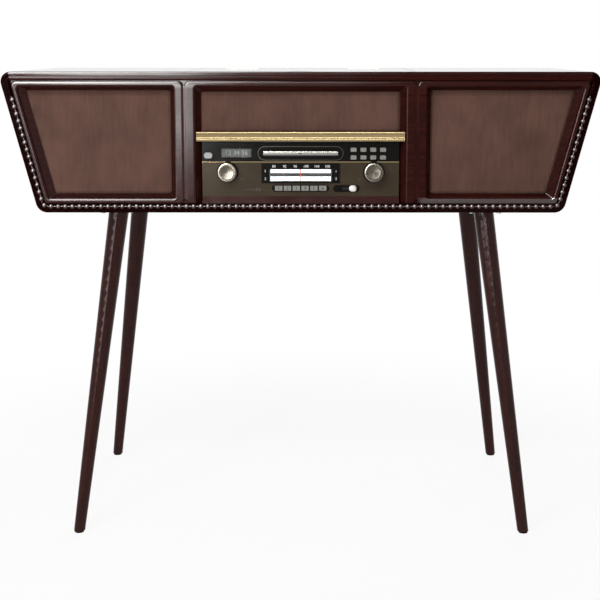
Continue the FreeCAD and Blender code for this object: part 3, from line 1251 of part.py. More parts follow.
def build():
    """Make every piece, cut the seats that pieces share, and return the shapes by name."""
    parts = {}
    bottom, right_side, top, left_side = boards()
    legs = {name: leg(*sides) for name, sides in CORNERS.items()}
    leg_screws = [s for sides in CORNERS.values() for s in plate_screws(*sides)]
    panel_screws = rear_screws()
    leg_list = list(legs.values())
    parts["bottom_panel"] = bottom.cut(leg_list + leg_screws)
    parts["side_panels"] = Part.makeCompound([left_side, right_side])
    rooms = [hinge_room(-HINGE_X), hinge_room(HINGE_X)]
    left_top = top.common(box(-TOP_HALF, -LID_HOLE_HALF, FRAME_BACK_Y, REAR_Y, CEILING_Z, TOP_Z))
    rail = box(-LID_HOLE_HALF, LID_HOLE_HALF, LID_REAR_Y, REAR_Y, CEILING_Z, TOP_Z).cut(rooms)
    parts["top_boards"] = Part.makeCompound([left_top, rail, mirrored(left_top)])
    parts["rear_sockets"] = Part.makeCompound(rear_jacks() + [mains_inlet()])
    parts["rear_panel"] = rear_panel(panel_screws)
    parts["front_frame"] = front_frame()
    parts["bead_trim"] = bead_trim()
    divider = box(-BAY_SEAM_X, -BAY_HALF, FRAME_BACK_Y, REAR_PANEL_Y, FLOOR_Z, CEILING_Z)
    parts["bay_dividers"] = Part.makeCompound([divider, mirrored(divider)]).cut(panel_screws)
    parts["baffle_boards"] = baffle_boards()
    parts["left_grille_cloth"] = side_cloth()
    parts["right_grille_cloth"] = mirrored(side_cloth())
    parts["centre_grille_cloth"] = centre_cloth()
    basket, cone = speaker_basket(), speaker_cone()
    parts["speaker_baskets"] = Part.makeCompound([basket, mirrored(basket)])
    parts["speaker_cones"] = Part.makeCompound([cone, mirrored(cone)])
    parts["gold_bar"] = gold_bar()
    for name, shape in legs.items():
        parts[name + "_leg"] = shape
    plates = [leg_plate(*sides).cut(leg_list + leg_screws) for sides in CORNERS.values()]
    parts["leg_plates"] = Part.makeCompound(plates)
    parts["wood_screws"] = Part.makeCompound(leg_screws + panel_screws)
    parts["foot_glides"] = Part.makeCompound([glide(*sides) for sides in CORNERS.values()])

    parts["lid"] = lid()
    base_leaves = [hinge_leaf(x, 1, 0, HINGE_PIN_R) for x in (-HINGE_X, HINGE_X)]
    parts["hinge_base_leaves"] = Part.makeCompound(base_leaves + [hinge_pin(-HINGE_X), hinge_pin(HINGE_X)])
    lid_leaves = [hinge_leaf(x, -1, 1, HINGE_PIN_R + HINGE_RUNNING) for x in (-HINGE_X, HINGE_X)]
    parts["hinge_lid_leaves"] = Part.makeCompound(lid_leaves)

    parts["spindle"] = spindle()
    parts["deck_plate"] = deck_plate([parts["spindle"]])
    parts["platter"] = platter()
    parts["platter_mat"] = platter_mat()
    parts["drive_motor"] = drive_motor()
    parts["motor_pulley"] = motor_pulley()
    parts["drive_belt"] = drive_belt()
    parts["tonearm_base"] = tonearm_base()
    parts["tonearm_yoke"] = tonearm_yoke()
    parts["tonearm"] = tonearm()
    parts["counterweight"] = counterweight()
    parts["cartridge"] = cartridge()
    parts["arm_rest"] = arm_rest()
    parts["cue_lifter"] = cue_lifter()
    parts["cue_lever"] = cue_lever()

    parts["receiver_chassis"] = receiver_chassis()
    parts["receiver_electronics"] = Part.makeCompound(control_board() + power_supply())
    parts["fascia_windows"] = Part.makeCompound([display_window(), dial_glass()])
    parts["fascia_strip"] = fascia_strip(display_window())
    parts["fascia_panel"] = fascia_panel()
    parts["dial_frame"] = dial_frame()
    parts["dial_pointer"] = dial_pointer()
    parts["cd_tray"] = cd_tray()
    parts["volume_knob"] = knob(-KNOB_X)
    parts["tuning_knob"] = knob(KNOB_X)
    parts["band_switch"] = band_switch()
    parts["power_button"] = power_button()
    for number, (x, z) in enumerate(key_places(), start=1):
        parts["key_%d" % number] = key(x, z)
    return parts


os.makedirs("parts", exist_ok=True)
for node, shape in build().items():
    shape.exportStep("parts/" + node + ".step")
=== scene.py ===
"""Looks of a console record player: finishes for the carried-over pieces, and the fine pieces over them.

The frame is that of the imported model: +X to the right, -Y to the front, +Z up. Sizes of pieces are in
millimetres. Meshes, lamps and the camera are in metres.
"""
import json
import math

import bmesh
import bpy
import numpy as np
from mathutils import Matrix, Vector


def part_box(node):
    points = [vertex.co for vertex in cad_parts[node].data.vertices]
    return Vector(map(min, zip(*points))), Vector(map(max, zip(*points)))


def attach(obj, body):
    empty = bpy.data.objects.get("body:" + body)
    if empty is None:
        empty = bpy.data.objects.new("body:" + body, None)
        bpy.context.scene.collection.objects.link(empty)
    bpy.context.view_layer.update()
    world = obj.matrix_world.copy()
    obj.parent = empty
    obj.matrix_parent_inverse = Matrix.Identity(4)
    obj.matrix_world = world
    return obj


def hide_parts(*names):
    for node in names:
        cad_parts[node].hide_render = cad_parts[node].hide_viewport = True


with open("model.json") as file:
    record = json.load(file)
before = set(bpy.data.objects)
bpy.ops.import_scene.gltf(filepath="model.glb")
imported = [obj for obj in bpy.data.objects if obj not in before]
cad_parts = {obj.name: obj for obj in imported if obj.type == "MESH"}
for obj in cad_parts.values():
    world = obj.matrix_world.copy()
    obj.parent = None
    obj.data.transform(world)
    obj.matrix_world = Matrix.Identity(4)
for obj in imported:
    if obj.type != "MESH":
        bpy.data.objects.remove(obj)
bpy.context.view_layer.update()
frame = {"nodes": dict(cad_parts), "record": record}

bl_info = {
    "name": "Console Record Player Looks",
    "version": (1, 0, 0),
    "blender": (4, 5, 0),
    "location": "View3D > Sidebar > Record Player",
    "description": "Dresses a packed console record player with finishes and fine pieces",
    "category": "Object",
}

MM = 0.001


def box_mm(node):
    """Low and high corner of a carried-over piece, in millimetres."""
    return np.array(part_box(node)) / MM


# Places taken from the frame
FRAME_BOX = box_mm("front_frame")
BEAD_BOX = box_mm("bead_trim")
PANEL_BOX = box_mm("fascia_panel")
STRIP_BOX = box_mm("fascia_strip")
DIAL_BOX = box_mm("dial_frame")
KNOBS = {node: box_mm(node).mean(0) for node in ("volume_knob", "tuning_knob")}
KNOB_Z = KNOBS["tuning_knob"][2]
PANEL_T = 4.0
FASCIA_Y = PANEL_BOX[1][1] - PANEL_T
BEAD_R = BEAD_BOX[1][1] - BEAD_BOX[0][1]

# Cabinet front
SIDE_SLOPE = 0.261  # run of the slanted sides over their rise
OPENING_CORNER_R = 4.0
BEAD_BEND_R = 9.0  # bend of the bead moulding round a lower corner
CLOTH_T = 0.6
STILE_SEAM_X = 199.0  # groove between the two ridges of a stile
STILE_HOLLOW_W = 9.6
STILE_HOLLOW_DEPTH = 0.35
STILE_BACK = 5.5  # hollow's back behind the crest of the ridges
STILE_END = 24.0  # ends of the hollow from the top and bottom of the frame

# Lacquer of the front
FRONT_GLOSS = 0.13
FADE_X = (60.0, 180.0)  # the gloss fades from the first x to the second
FADED_SHARE = 0.35
EDGE_SOFT = 1.5
PAINTED_SHADE_IN = 5.5  # the painted shade, a dark border, starts so far inside the row of pearls
PAINTED_SHADE_SHARE = 0.3
PAINTED_SHADE_GLOSS = 0.03
BAY_SILL_UP = 25.5  # top of the ridge under a side bay, from the frame's lower edge
BAY_SILL_SOFT = 12.0  # its polish sets in over this width beside the stile
BAY_SILL_GLOSS = 0.8
TOP_GLOSS = ((28.0, 25.5, 1.8), (15.5, 13.0, 0.25), (7.0, 4.0, 3.5))  # start and end under the top, share

# Gold bar, sill and line over the panel
BAR_ROLL_R = 3.3
BAR_ROLL_STOP = 35.0  # angle at which a roll meets the hollow, in degrees
BAR_LIP = 2.2  # edge of the hollow behind the rolls
BAR_LIP_H = 0.6
BAR_HOLLOW = 2.5
SKIN = 0.05  # gap of a thin piece before what it lies on
SILL_H = 12.2
SILL_DEPTH = 4.4
SILL_LIP = 0.6
SILL_NOSE = 1.0
SILL_FOOT = 0.2
SILL_HEEL = 8.0
LINE_DROP = (1.6, 0.4)  # lower and upper edge of the line under the panel's top
LINE_PROUD = 0.5

# Dial
POINTER_GAP = 0.4  # pointer before the floor of the dial's recess
DIAL_UP = 13.25  # middle of the dial's window
DIAL_WINDOW = (108.0, 21.5)
DIAL_FIT = 0.4
BACKING_T = 0.1
LIT_W = 104.0
LIT_STRIPS = np.array([(7.5, 7.6), (20.5, 6.4)])  # middle above the dial's lower edge, height
LIT_T = 0.12
TICK_COUNT = 41
TICK_EVERY = 5  # every fifth tick is long
TICK_LONG = 2.2
TICK_SHORT = 1.2
TICK_W = 0.5
TICK_MARGIN = 4.0
TICK_OVER = 0.2  # root of a tick past the inner edge of its strip
INK_T = 0.06
STATIONS = range(88, 109, 4)
STATION_REACH = 46.0
STATION_DROP = 5.0
BAND_X = 61.0  # numbers beside the strips
NUMBER_PROUD = 0.1

# Display, legend and marks
DISPLAY_X = -110.6
DISPLAY_UP = 14.5
DISPLAY_SIZE = np.array([51.0, 15.0])
DISPLAY_FIT = 0.2
GLASS_PROUD = 0.8
GLASS_T = 1.0
DIAL_GLASS_T = 1.4
PANE_IN = 1.2  # display pane behind the fascia's face
PANE_T = 0.75
DIGIT_IN = 1.1
DIGIT_T = 0.08
DIGIT_H = 8.0
LEGEND_UP = 26.4
LEGEND_PLATE = (99.0, 12.2)
LEGEND_PROUD = (0.95, 0.8)  # front and back of the plate before the fascia
LEGEND_CELLS = 6
LEGEND_REACH = 38.0
LEGEND_CELL = (12.8, 8.6)
LEGEND_NUMBER_H = 6.0
LEGEND_INK_T = 0.1
KNOB_MARK = (5.0, 2.2)
KNOB_MARK_REACH = 24.5
KNOB_MARK_DROP = 12.5
STEP_COUNT = 7
STEP_START = -102.0
STEP_PITCH = 5.2
STEP_DROP = 30.0
STEP_W = 2.4
STEP_H = 1.4
STEP_RISE = 0.6  # each step is so much taller than the one before

# Tray and switch
TRAY_UP = 5.0  # middle of the tray's front
TRAY_BAR_PROUD = 2.0
TRAY_BAR_HALF = 3.9
TRAY_BAR_INSET = 0.8
BEZEL_SIZE = np.array([147.4, 24.4])
BEZEL_RIM = 1.0
BEZEL_T = 0.12
TRAY_MARK = (4.0, 2.0)
TRAY_MARK_PROUD = 0.1
SWITCH_W = 12.8
SWITCH_H = 11.0
SWITCH_POWER = 2.6  # squareness of the switch cap: 2 is an ellipse
SWITCH_DOME = 0.97  # share of a quarter turn that the cap's dome takes
SWITCH_GAP = 0.3  # cap before the fascia
SWITCH_STEM = (3.0, 2.0)  # half width and half height
SWITCH_TRAVEL = 20.0
# Black plate round the switch's slot: painted shade, standing in for the shadow there
SWITCH_SHADOW_PLATE = (46.0, 12.4)
SWITCH_SHADOW_PLATE_SHIFT = 1.0
SWITCH_SHADOW_PLATE_Y = (-0.2, 0.02)  # front and back about the fascia's face
SWITCH_SLOT = (26.6, 4.6)

# Knobs
AXIS_R = 0.2  # a turned piece stops so close to its axis
KNOB_GAP = 0.4
KNOB_H = 15.0
STEM_R = 3.0
STEM_L = 18.0
SKIRT_OUT = 1.5
SKIRT_T = 3.0
SKIRT_BEVEL = 0.6
KNOB_SEAM = 0.02  # cap before the skirt
KNOB_ROUND = 2.6
KNOB_RING = ((4.2, 0.1), (4.8, 0.9), (5.4, 0.9), (6.0, 0.2))  # inset from the rim, depth
KNOB_DISH = ((6.0, 0.9), (AXIS_R, 1.1))  # radius and depth inside the ring
KNURLS = 44
KNURL_STEPS = 8

# Mat
MAT_EDGE = 1.0
MAT_SHOULDER = 0.8
MAT_RIB_H = 0.9
MAT_RIBS_END = 52.0
MAT_LABEL_R = 50.5
MAT_LABEL_DEPTH = 1.2
MAT_BORE_R = 4.2
MAT_BORE_BEVEL = (0.4, 0.3)
MAT_SIDES = 160

# Meshes
SHARP_ANGLE = math.radians(40.0)  # edges sharper than this keep a crease
LETTER_T = 0.12
CAPITAL_SHARE = 0.72  # height of a capital over the size of the lettering
PEARL_STEPS = 14
PEARL_TURNS = 13
POLE_STOP = 0.98  # a dome stops at this share of its quarter turn and is closed by a flat face
CLOTH_GRID = (41, 33)

# Stage, in metres
FLOOR_Z = -0.0005  # just under the feet
FLOOR_R = 6.0
FLOOR_SIDES = 96
FLOOR_FADE = {"From Min": 0.5, "From Max": 1.3, "To Min": 0.88, "To Max": 1.0}  # whiter away from the feet
AMBIENT = 0.40
LAMPS = (  # name, place, aim, size, watts, whether it lights, whether it spares the bright pieces
    ("Overhead softbox", (-0.48, -1.6, 2.2), (-0.1, 0.0, 0.7), (1.65, 0.14), 22.0, True, False),
    ("Tall softbox", (-1.15, -2.1, 0.98), (0.0, 0.0, 0.6), (0.20, 1.85), 20.0, True, False),
    ("Gloss card above", (-0.92, -1.4, 1.93), (-0.3, -0.2, 0.8), (1.0, 2.65), 420.0, False, True),
    ("Gloss card beside", (-1.6, -1.6, 1.05), (0.0, -0.2, 0.7), (0.6, 1.7), 26.0, False, True),
    ("Gloss card in front", (-0.63, -2.4, 0.83), (-0.3, -0.2, 0.78), (0.46, 0.68), 33.0, False, True),
    ("Back softbox", (0.6, 2.2, 2.0), (0.0, 0.0, 0.6), (1.4, 0.8), 20.0, True, True),
)
CAMERA_PLACE = (0.0324, -2.369, 0.854)
CAMERA_TILT = math.radians(90.0 - 8.15)  # level less the pitch down
CAMERA_YAW = math.radians(0.18)
CAMERA_LENS = 75.95
CAMERA_SENSOR = 36.0
CAMERA_SHIFT = (-0.0258, -0.12)


def linear(hex_colour):
    """Linear RGBA of an sRGB hex colour."""
    value = np.array([int(hex_colour[i:i + 2], 16) for i in (1, 3, 5)]) / 255.0
    curve = np.where(value <= 0.04045, value / 12.92, ((value + 0.055) / 1.055) ** 2.4)
    return (*curve.tolist(), 1.0)


def length(name, text, default_mm):
    """Size property in metres whose default is given in millimetres."""
    return bpy.props.FloatProperty(name=name, description=text, default=default_mm * MM, unit="LENGTH")


def tint(name, text, hex_colour):
    """Colour property whose default is an sRGB hex value."""
    return bpy.props.FloatVectorProperty(
        name=name, description=text, default=linear(hex_colour), size=4, subtype="COLOR", min=0.0, max=1.0)


class RecordPlayerSizes(bpy.types.PropertyGroup):
    """Sizes of the fine pieces."""
    bead_pitch: length("Bead Pitch", "Distance from pearl to pearl of the moulding", 12.4)
    bead_neck: length("Bead Neck", "Radius between two pearls", 0.9)
    thread: length("Thread Pitch", "Thread spacing of the grille cloth", 1.4)
    cloth_crown: length("Cloth Crown", "How far a stretched cloth swells at its middle", 0.25)
    knob_radius: length("Knob Radius", "Radius of the chrome knobs", 17.0)
    knurl_depth: length("Knurl Depth", "Depth of the ribs round a knob", 0.45)
    mat_rib: length("Mat Rib", "Spacing of the rings of the platter mat", 4.0)
    numeral: length("Numeral Height", "Height of the plain numbers on the dial", 4.4)


class RecordPlayerColours(bpy.types.PropertyGroup):
    """Colours of the main finishes."""
    wood: tint("Mahogany", "Stained wood under its lacquer", "#38140f")
    wood_dark: tint("Mahogany Pores", "Dark grain of the stained wood", "#190706")
    cloth: tint("Grille Cloth", "Yarn of the speaker cloth", "#694c42")
    cloth_dark: tint("Grille Cloth Shade", "Darker yarn of the speaker cloth", "#573f36")
    gold: tint("Gold Bar", "Gold finish of the cross bar", "#a8956f")
    bronze: tint("Bronze Panel", "Lacquer of the lower fascia", "#41372a")
    black: tint("Black Strip", "Black plastic of the upper fascia", "#100e0c")


def sizes():
    """The scene's size properties."""
    return bpy.context.scene.record_player_sizes


def colours():
    """The scene's colour properties."""
    return bpy.context.scene.record_player_colours


# Meshes from arrays

FINISHES = {}


def mesh_piece(name, shape, finish_name, body="cabinet", replaced=(), smooth=False):
    """New piece from (points in millimetres, faces), riding on a body; closed skins get outward faces."""
    verts, faces = shape
    mesh = bpy.data.meshes.new(name)
    mesh.from_pydata((np.asarray(verts, float) * MM).tolist(), [], [list(f) for f in faces])
    mesh.materials.append(FINISHES[finish_name])
    mesh.polygons.foreach_set("use_smooth", np.full(len(mesh.polygons), smooth))
    shell = bmesh.new()
    shell.from_mesh(mesh)
    if all(len(edge.link_faces) == 2 for edge in shell.edges):
        bmesh.ops.recalc_face_normals(shell, faces=shell.faces)
    for edge in shell.edges:
        edge.smooth = edge.calc_face_angle(0.0) < SHARP_ANGLE
    shell.to_mesh(mesh)
    shell.free()
    mesh.update()
    piece = bpy.data.objects.new(name, mesh)
    bpy.context.scene.collection.objects.link(piece)
    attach(piece, body)
    if replaced:
        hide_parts(*replaced)
    return piece


def grid_faces(rows, columns, wrap_rows=False, wrap_columns=False):
    """Quads of a grid of points laid out row by row, closed on itself where it wraps."""
    last_row = rows if wrap_rows else rows - 1
    last_column = columns if wrap_columns else columns - 1
    i, j = np.meshgrid(np.arange(last_row), np.arange(last_column), indexing="ij")
    here, below = i * columns, (i + 1) % rows * columns
    beside = (j + 1) % columns
    return np.stack([here + j, here + beside, below + beside, below + j], -1).reshape(-1, 4)


def tube(points):
    """Closed skin over a grid of rings: quads between the rings and one face on each end ring."""
    rows, columns = points.shape[:2]
    faces = grid_faces(rows, columns, wrap_columns=True).tolist()
    ends = [np.arange(columns)[::-1].tolist(), (np.arange(columns) + (rows - 1) * columns).tolist()]
    return points.reshape(-1, 3), faces + ends


def prism(outline, axis, start, stop):
    """Closed outline in the two other directions, carried along an axis (0 for x, 1 for y, 2 for z)."""
    outline = np.asarray(outline, float)
    return tube(np.stack([np.insert(outline, axis, place, axis=1) for place in (start, stop)]))


def stadium(x, z, width, height, segments=24):
    """Outline in x and z: two half circles of the given height joined by straight sides."""
    angle = np.linspace(-np.pi / 2, np.pi / 2, segments)
    reach, radius = (width - height) / 2, height / 2
    right = np.column_stack([x + reach + radius * np.cos(angle), z + radius * np.sin(angle)])
    left = np.column_stack([x - reach - radius * np.cos(angle), z - radius * np.sin(angle)])
    return np.concatenate([right, left])


def flat_ring(outer, inner, y0, y1):
    """Plate with a hole: an outer and an inner outline, at the front and at the back, joined all round."""
    corners = ((outer, y0), (inner, y0), (inner, y1), (outer, y1))
    points = np.concatenate([np.insert(outline, 1, y, axis=1) for outline, y in corners])
    return points, grid_faces(4, len(outer), wrap_rows=True, wrap_columns=True)


def joined(parts):
    """One list of points and one of faces from several."""
    verts, faces, start = [], [], 0
    for points, polygons in parts:
        verts.append(np.asarray(points, float).reshape(-1, 3))
        faces += [[int(k) + start for k in polygon] for polygon in polygons]
        start += len(verts[-1])
    return np.concatenate(verts), faces


def bars(lows, highs):
    """Boxes between arrays of low and high corners, as one mesh: each box is eight corners and six quads."""
    lows, highs = np.asarray(lows, float), np.asarray(highs, float)
    floor = np.array([[0, 0, 0], [1, 0, 0], [1, 1, 0], [0, 1, 0]])
    pick = np.concatenate([floor, floor + [0, 0, 1]])
    corners = lows[:, None, :] + pick[None] * (highs - lows)[:, None, :]
    quads = np.array([[0, 3, 2, 1], [4, 5, 6, 7], [0, 1, 5, 4], [1, 2, 6, 5], [2, 3, 7, 6], [3, 0, 4, 7]])
    faces = quads[None] + len(pick) * np.arange(len(lows))[:, None, None]
    return corners.reshape(-1, 3), faces.reshape(-1, 4).tolist()


def front_bars(middles, widths, heights, front_y, depth):
    """Bars facing the front from arrays of (x, z) middles, widths and heights."""
    middles = np.asarray(middles, float)
    count = len(middles)
    half = np.column_stack([np.broadcast_to(widths, count), np.broadcast_to(heights, count)]) / 2
    lows = np.insert(middles - half, 1, front_y, axis=1)
    return bars(lows, np.insert(middles + half, 1, front_y + depth, axis=1))


def lathe(profile, centre, segments, ripple=None):
    """Grid of a surface of revolution about an axis to the front: (radius, y) points carried round it.

    A point at angle a is centre + (radius + ripple(a, index)) * (cos a, 0, sin a) + (0, y, 0).
    """
    profile = np.asarray(profile, float)
    angle = np.linspace(0, 2 * np.pi, segments, endpoint=False)
    radius = np.repeat(profile[:, :1], segments, 1)
    if ripple is not None:
        radius = radius + ripple(angle[None], np.arange(len(profile))[:, None])
    along = np.repeat(profile[:, 1:], segments, 1)
    return np.stack([radius * np.cos(angle), along, radius * np.sin(angle)], -1) + np.asarray(centre)


def turned(profile, centre, segments=96, ripple=None):
    """Closed skin of a turned piece: its profile carried round, with a flat face on each end ring."""
    return tube(lathe(profile, centre, segments, ripple))


# Finishes

RAMP = "ShaderNodeValToRGB"
MATHS = "ShaderNodeMath"
RANGE = "ShaderNodeMapRange"
BUMP = "ShaderNodeBump"
MIX = "ShaderNodeMixRGB"


def feed(tree, node, inputs):
    """Sets the named inputs of a node to values, or links them to sockets or to a node's first output."""
    for socket, value in inputs.items():
        if isinstance(value, bpy.types.Node):
            value = value.outputs[0]
        if isinstance(value, bpy.types.NodeSocket):
            tree.links.new(value, node.inputs[socket])
        else:
            node.inputs[socket].default_value = value


def add(tree, kind, inputs, stops=(), **settings):
    """Adds one node with its settings, its inputs and, on a ramp, its (position, colour) stops."""
    made = tree.nodes.new(kind)
    for name, value in settings.items():
        setattr(made, name, value)
    feed(tree, made, inputs)
    for element, (position, colour) in zip(made.color_ramp.elements if stops else (), stops):
        element.position = position
        element.color = colour
    return made


def sockets(values):
    """Values by the name of their socket, from keywords such as specular_ior_level."""
    return {key.replace("_", " ").title().replace("Ior", "IOR"): value for key, value in values.items()}


def finish(name, **values):
    """New material with one surface shader, and the values that are the same all over it."""
    material = bpy.data.materials.new(name)
    material.use_nodes = True
    tree = material.node_tree
    shader = tree.nodes["Principled BSDF"]
    feed(tree, shader, sockets(values))
    return material, tree, shader


def pattern(tree, cell_mm, kind="ShaderNodeTexNoise", settings=None, **values):
    """Pattern in object coordinates whose cells measure so many millimetres along x, y and z."""
    where = add(tree, "ShaderNodeTexCoord", {}).outputs["Object"]
    cells = add(tree, "ShaderNodeMapping", {"Vector": where, "Scale": [1 / (c * MM) for c in cell_mm]})
    return add(tree, kind, {"Vector": cells, "Scale": 1.0, **sockets(values)}, **(settings or {}))


def grey(value):
    """Opaque grey of one linear value, for ramps that carry numbers."""
    return (value, value, value, 1.0)


def shade(colour, share):
    """Colour with its red, green and blue multiplied by a share."""
    return (*(c * share for c in colour[:3]), 1.0)


def span(start_mm, stop_mm, low, high):
    """Inputs of a range that goes from low to high while a length goes from its start to its stop."""
    return {"From Min": start_mm * MM, "From Max": stop_mm * MM, "To Min": low, "To Max": high}


def lay(tree, shader, colour, polish=None, relief=None):
    """Lays patterns on a finish: colour stops, roughness at both ends, relief in mm with a strength."""
    field, stops = colour
    inputs = {"Base Color": add(tree, RAMP, {"Fac": field}, stops)}
    if polish:
        field, low, high = polish
        inputs["Roughness"] = add(tree, RAMP, {"Fac": field}, [(0.3, grey(low)), (0.7, grey(high))])
    if relief:
        field, depth_mm, strength = relief
        height = {"Height": field, "Distance": depth_mm * MM, "Strength": strength}
        inputs["Normal"] = add(tree, BUMP, height)
    feed(tree, shader, inputs)


def mahogany(axis, gloss, haze=0.0, coat=0.0):
    """Stained mahogany under gloss lacquer: nearly black red, fine pores along the grain, wet highlights."""
    look = colours()
    material, tree, shader = finish(f"Lacquered mahogany along {axis} {gloss}", specular_ior_level=gloss,
                                    coat_weight=coat, coat_roughness=0.06)
    long_cells = {"x": (160.0, 9.0, 7.0), "z": (7.0, 9.0, 160.0)}[axis]
    pore_cells = {"x": (30.0, 0.9, 0.7), "z": (0.7, 0.9, 30.0)}[axis]
    grain = pattern(tree, long_cells, detail=5.0, roughness=0.6, distortion=0.4)
    pore = pattern(tree, pore_cells, detail=2.0, roughness=0.6)
    mixed = add(tree, MATHS, {0: grain, 1: pore, 2: 0.12}, operation="MULTIPLY_ADD")
    cloud = pattern(tree, (45.0, 45.0, 45.0), detail=4.0)
    lay(tree, shader, (mixed, [(0.22, look.wood_dark), (0.50, look.wood)]),
        (cloud, 0.13 + haze, 0.21 + haze), (pore, 0.006, 0.25))
    return material


def shaded_mahogany(axis):
    """Mahogany of the front: painted shade, almost black, round the pearls, so that they stand out of a dark
    border.

    The lacquer is duller to the right of the receiver, but not on the sill of the right bay, and its gloss
    changes towards the top: more on the upper ridges, less on the roll over them, most on the rim.
    """
    material = mahogany(axis, FRONT_GLOSS)
    material.name = f"Mahogany with painted shade along {axis}"
    tree = material.node_tree
    shader = tree.nodes["Principled BSDF"]
    where = add(tree, "ShaderNodeTexCoord", {}).outputs["Object"]
    place = add(tree, "ShaderNodeSeparateXYZ", {"Vector": where}).outputs
    x, z = place["X"], place["Z"]

    (_, side_top), (bottom_end, _), _ = bead_rows()
    foot = (side_top[0] - SIDE_SLOPE * side_top[1]) * MM
    edge = add(tree, MATHS, {0: z, 1: SIDE_SLOPE, 2: foot}, operation="MULTIPLY_ADD")
    wide = add(tree, MATHS, {0: x}, operation="ABSOLUTE")
    beside = add(tree, MATHS, {0: wide, 1: edge}, operation="SUBTRACT")
    under = add(tree, MATHS, {0: bottom_end[1] * MM, 1: z}, operation="SUBTRACT")
    outside = add(tree, MATHS, {0: beside, 1: under}, operation="MAXIMUM")
    # Painted shade: outside the pearls the base colour is darkened almost black and the gloss lowered,
    # standing in for the shadow at the frame's edge.
    border = (-PAINTED_SHADE_IN - EDGE_SOFT, -PAINTED_SHADE_IN, 1.0)
    tone = add(tree, RANGE, {"Value": outside, **span(*border, PAINTED_SHADE_SHARE)})
    plain = shader.inputs["Base Color"].links[0].from_socket
    painted_shade_colour = add(tree, MIX, {"Fac": 1.0, "Color1": plain, "Color2": tone}, blend_type="MULTIPLY")

    dulled = add(tree, RANGE, {"Value": x, **span(*FADE_X, FRONT_GLOSS, FRONT_GLOSS * FADED_SHARE)})
    sill_top = FRAME_BOX[0][2] + BAY_SILL_UP
    sill = add(tree, RANGE, {"Value": z, **span(sill_top + EDGE_SOFT, sill_top, 0.0, BAY_SILL_GLOSS)})
    right = add(tree, RANGE, {"Value": x, **span(STILE_SEAM_X, STILE_SEAM_X + BAY_SILL_SOFT, 0.0, 1.0)})
    polished = add(tree, MATHS, {0: sill, 1: right}, operation="MULTIPLY")
    gloss = add(tree, MATHS, {0: dulled, 1: polished}, operation="MAXIMUM")
    top = FRAME_BOX[1][2]
    shares = [add(tree, RANGE, {"Value": outside, **span(*border, PAINTED_SHADE_GLOSS)})]
    shares += [add(tree, RANGE, {"Value": z, **span(top - start, top - stop, 1.0, share)})
               for start, stop, share in TOP_GLOSS]
    for share in shares:
        gloss = add(tree, MATHS, {0: gloss, 1: share}, operation="MULTIPLY")
    feed(tree, shader, {"Base Color": painted_shade_colour, "Specular IOR Level": gloss})
    return material


def plywood(name, pale, dark):
    """Birch plywood, sanded: matt, with long soft figure; stained dark on the baffles behind the cloth."""
    material, tree, shader = finish(name, specular_ior_level=0.3)
    figure = pattern(tree, (120.0, 8.0, 6.0), detail=5.0, roughness=0.6, distortion=0.6)
    lay(tree, shader, (figure, [(0.3, linear(dark)), (0.7, linear(pale))]), (figure, 0.7, 0.58),
        (figure, 0.05, 0.4))
    return material


def hardboard():
    """Pressed hardboard: brown fibres pressed flat, dull, with a fine pebble."""
    material, tree, shader = finish("Hardboard", roughness=0.72, specular_ior_level=0.3)
    fibre = pattern(tree, (2.2, 2.2, 2.2), detail=6.0, roughness=0.7)
    cloud = pattern(tree, (70.0, 70.0, 70.0), detail=3.0)
    both = add(tree, MATHS, {0: fibre, 1: cloud}, operation="MULTIPLY")
    lay(tree, shader, (both, [(0.12, linear("#3b271a")), (0.42, linear("#6b4c34"))]),
        relief=(fibre, 0.12, 0.5))
    return material


def grille_cloth():
    """Woven acrylic cloth: brown yarn over and under, soft sheen, faint upright slubs and cloudy patches.

    A wave band repeats every pi / 10 of its scale, so one dark line falls between two threads.
    """
    look = colours()
    material, tree, shader = finish("Woven acrylic cloth", roughness=0.9, sheen_weight=0.03,
                                    sheen_roughness=0.5, specular_ior_level=0.03)
    pitch = sizes().thread / MM
    yarn = {"scale": math.pi / 10, "distortion": 0.6, "detail": 1.0, "detail_scale": 0.5}
    threads = [pattern(tree, (pitch,) * 3, "ShaderNodeTexWave", {"bands_direction": way}, **yarn)
               for way in "XZ"]
    weave = add(tree, MATHS, {0: threads[0], 1: threads[1]}, operation="MULTIPLY")
    slub = pattern(tree, (4.0, 30.0, 45.0), detail=3.0, roughness=0.55, distortion=0.3)
    cloud = pattern(tree, (55.0, 55.0, 75.0), detail=4.0, roughness=0.55)
    patchy = add(tree, MATHS, {0: slub, 1: 0.45, 2: cloud}, operation="MULTIPLY_ADD")
    tone = add(tree, RAMP, {"Fac": patchy}, [(0.52, look.cloth_dark), (0.90, look.cloth)])
    thread = add(tree, RAMP, {"Fac": weave}, [(0.0, grey(0.72)), (0.55, grey(1.0))])
    feed(tree, shader, {
        "Base Color": add(tree, MIX, {"Fac": 1.0, "Color1": tone, "Color2": thread}, blend_type="MULTIPLY"),
        "Normal": add(tree, BUMP, {"Height": weave, "Distance": 0.3 * MM, "Strength": 0.6}),
    })
    return material


def brushed(name, colour, roughness, along, spread=0.08, depth_mm=0.01):
    """Metal drawn or brushed along one axis: fine lines that stretch its highlights."""
    cells = {"x": (60.0, 0.6, 0.5), "z": (0.5, 0.6, 60.0), "all": (1.4, 1.4, 1.4)}[along]
    material, tree, shader = finish(name, metallic=1.0)
    lines = pattern(tree, cells, detail=3.0, roughness=0.6)
    lay(tree, shader, (lines, [(0.3, shade(colour, 0.72)), (0.7, colour)]),
        (lines, roughness + spread, roughness), (lines, depth_mm, 0.5))
    return material


def spun(name, colour, roughness):
    """Metal turned on a lathe: rings round its own middle spread a lamp into a bow-tie across the face."""
    material, tree, shader = finish(name, metallic=1.0, anisotropic=0.6)
    scuff = pattern(tree, (3.0, 3.0, 3.0), detail=4.0, roughness=0.6)
    lay(tree, shader, (scuff, [(0.3, shade(colour, 0.7)), (0.7, colour)]),
        (scuff, roughness + 0.1, roughness))
    rings = add(tree, "ShaderNodeTangent", {}, direction_type="RADIAL", axis="Y")
    feed(tree, shader, {"Tangent": rings})
    return material


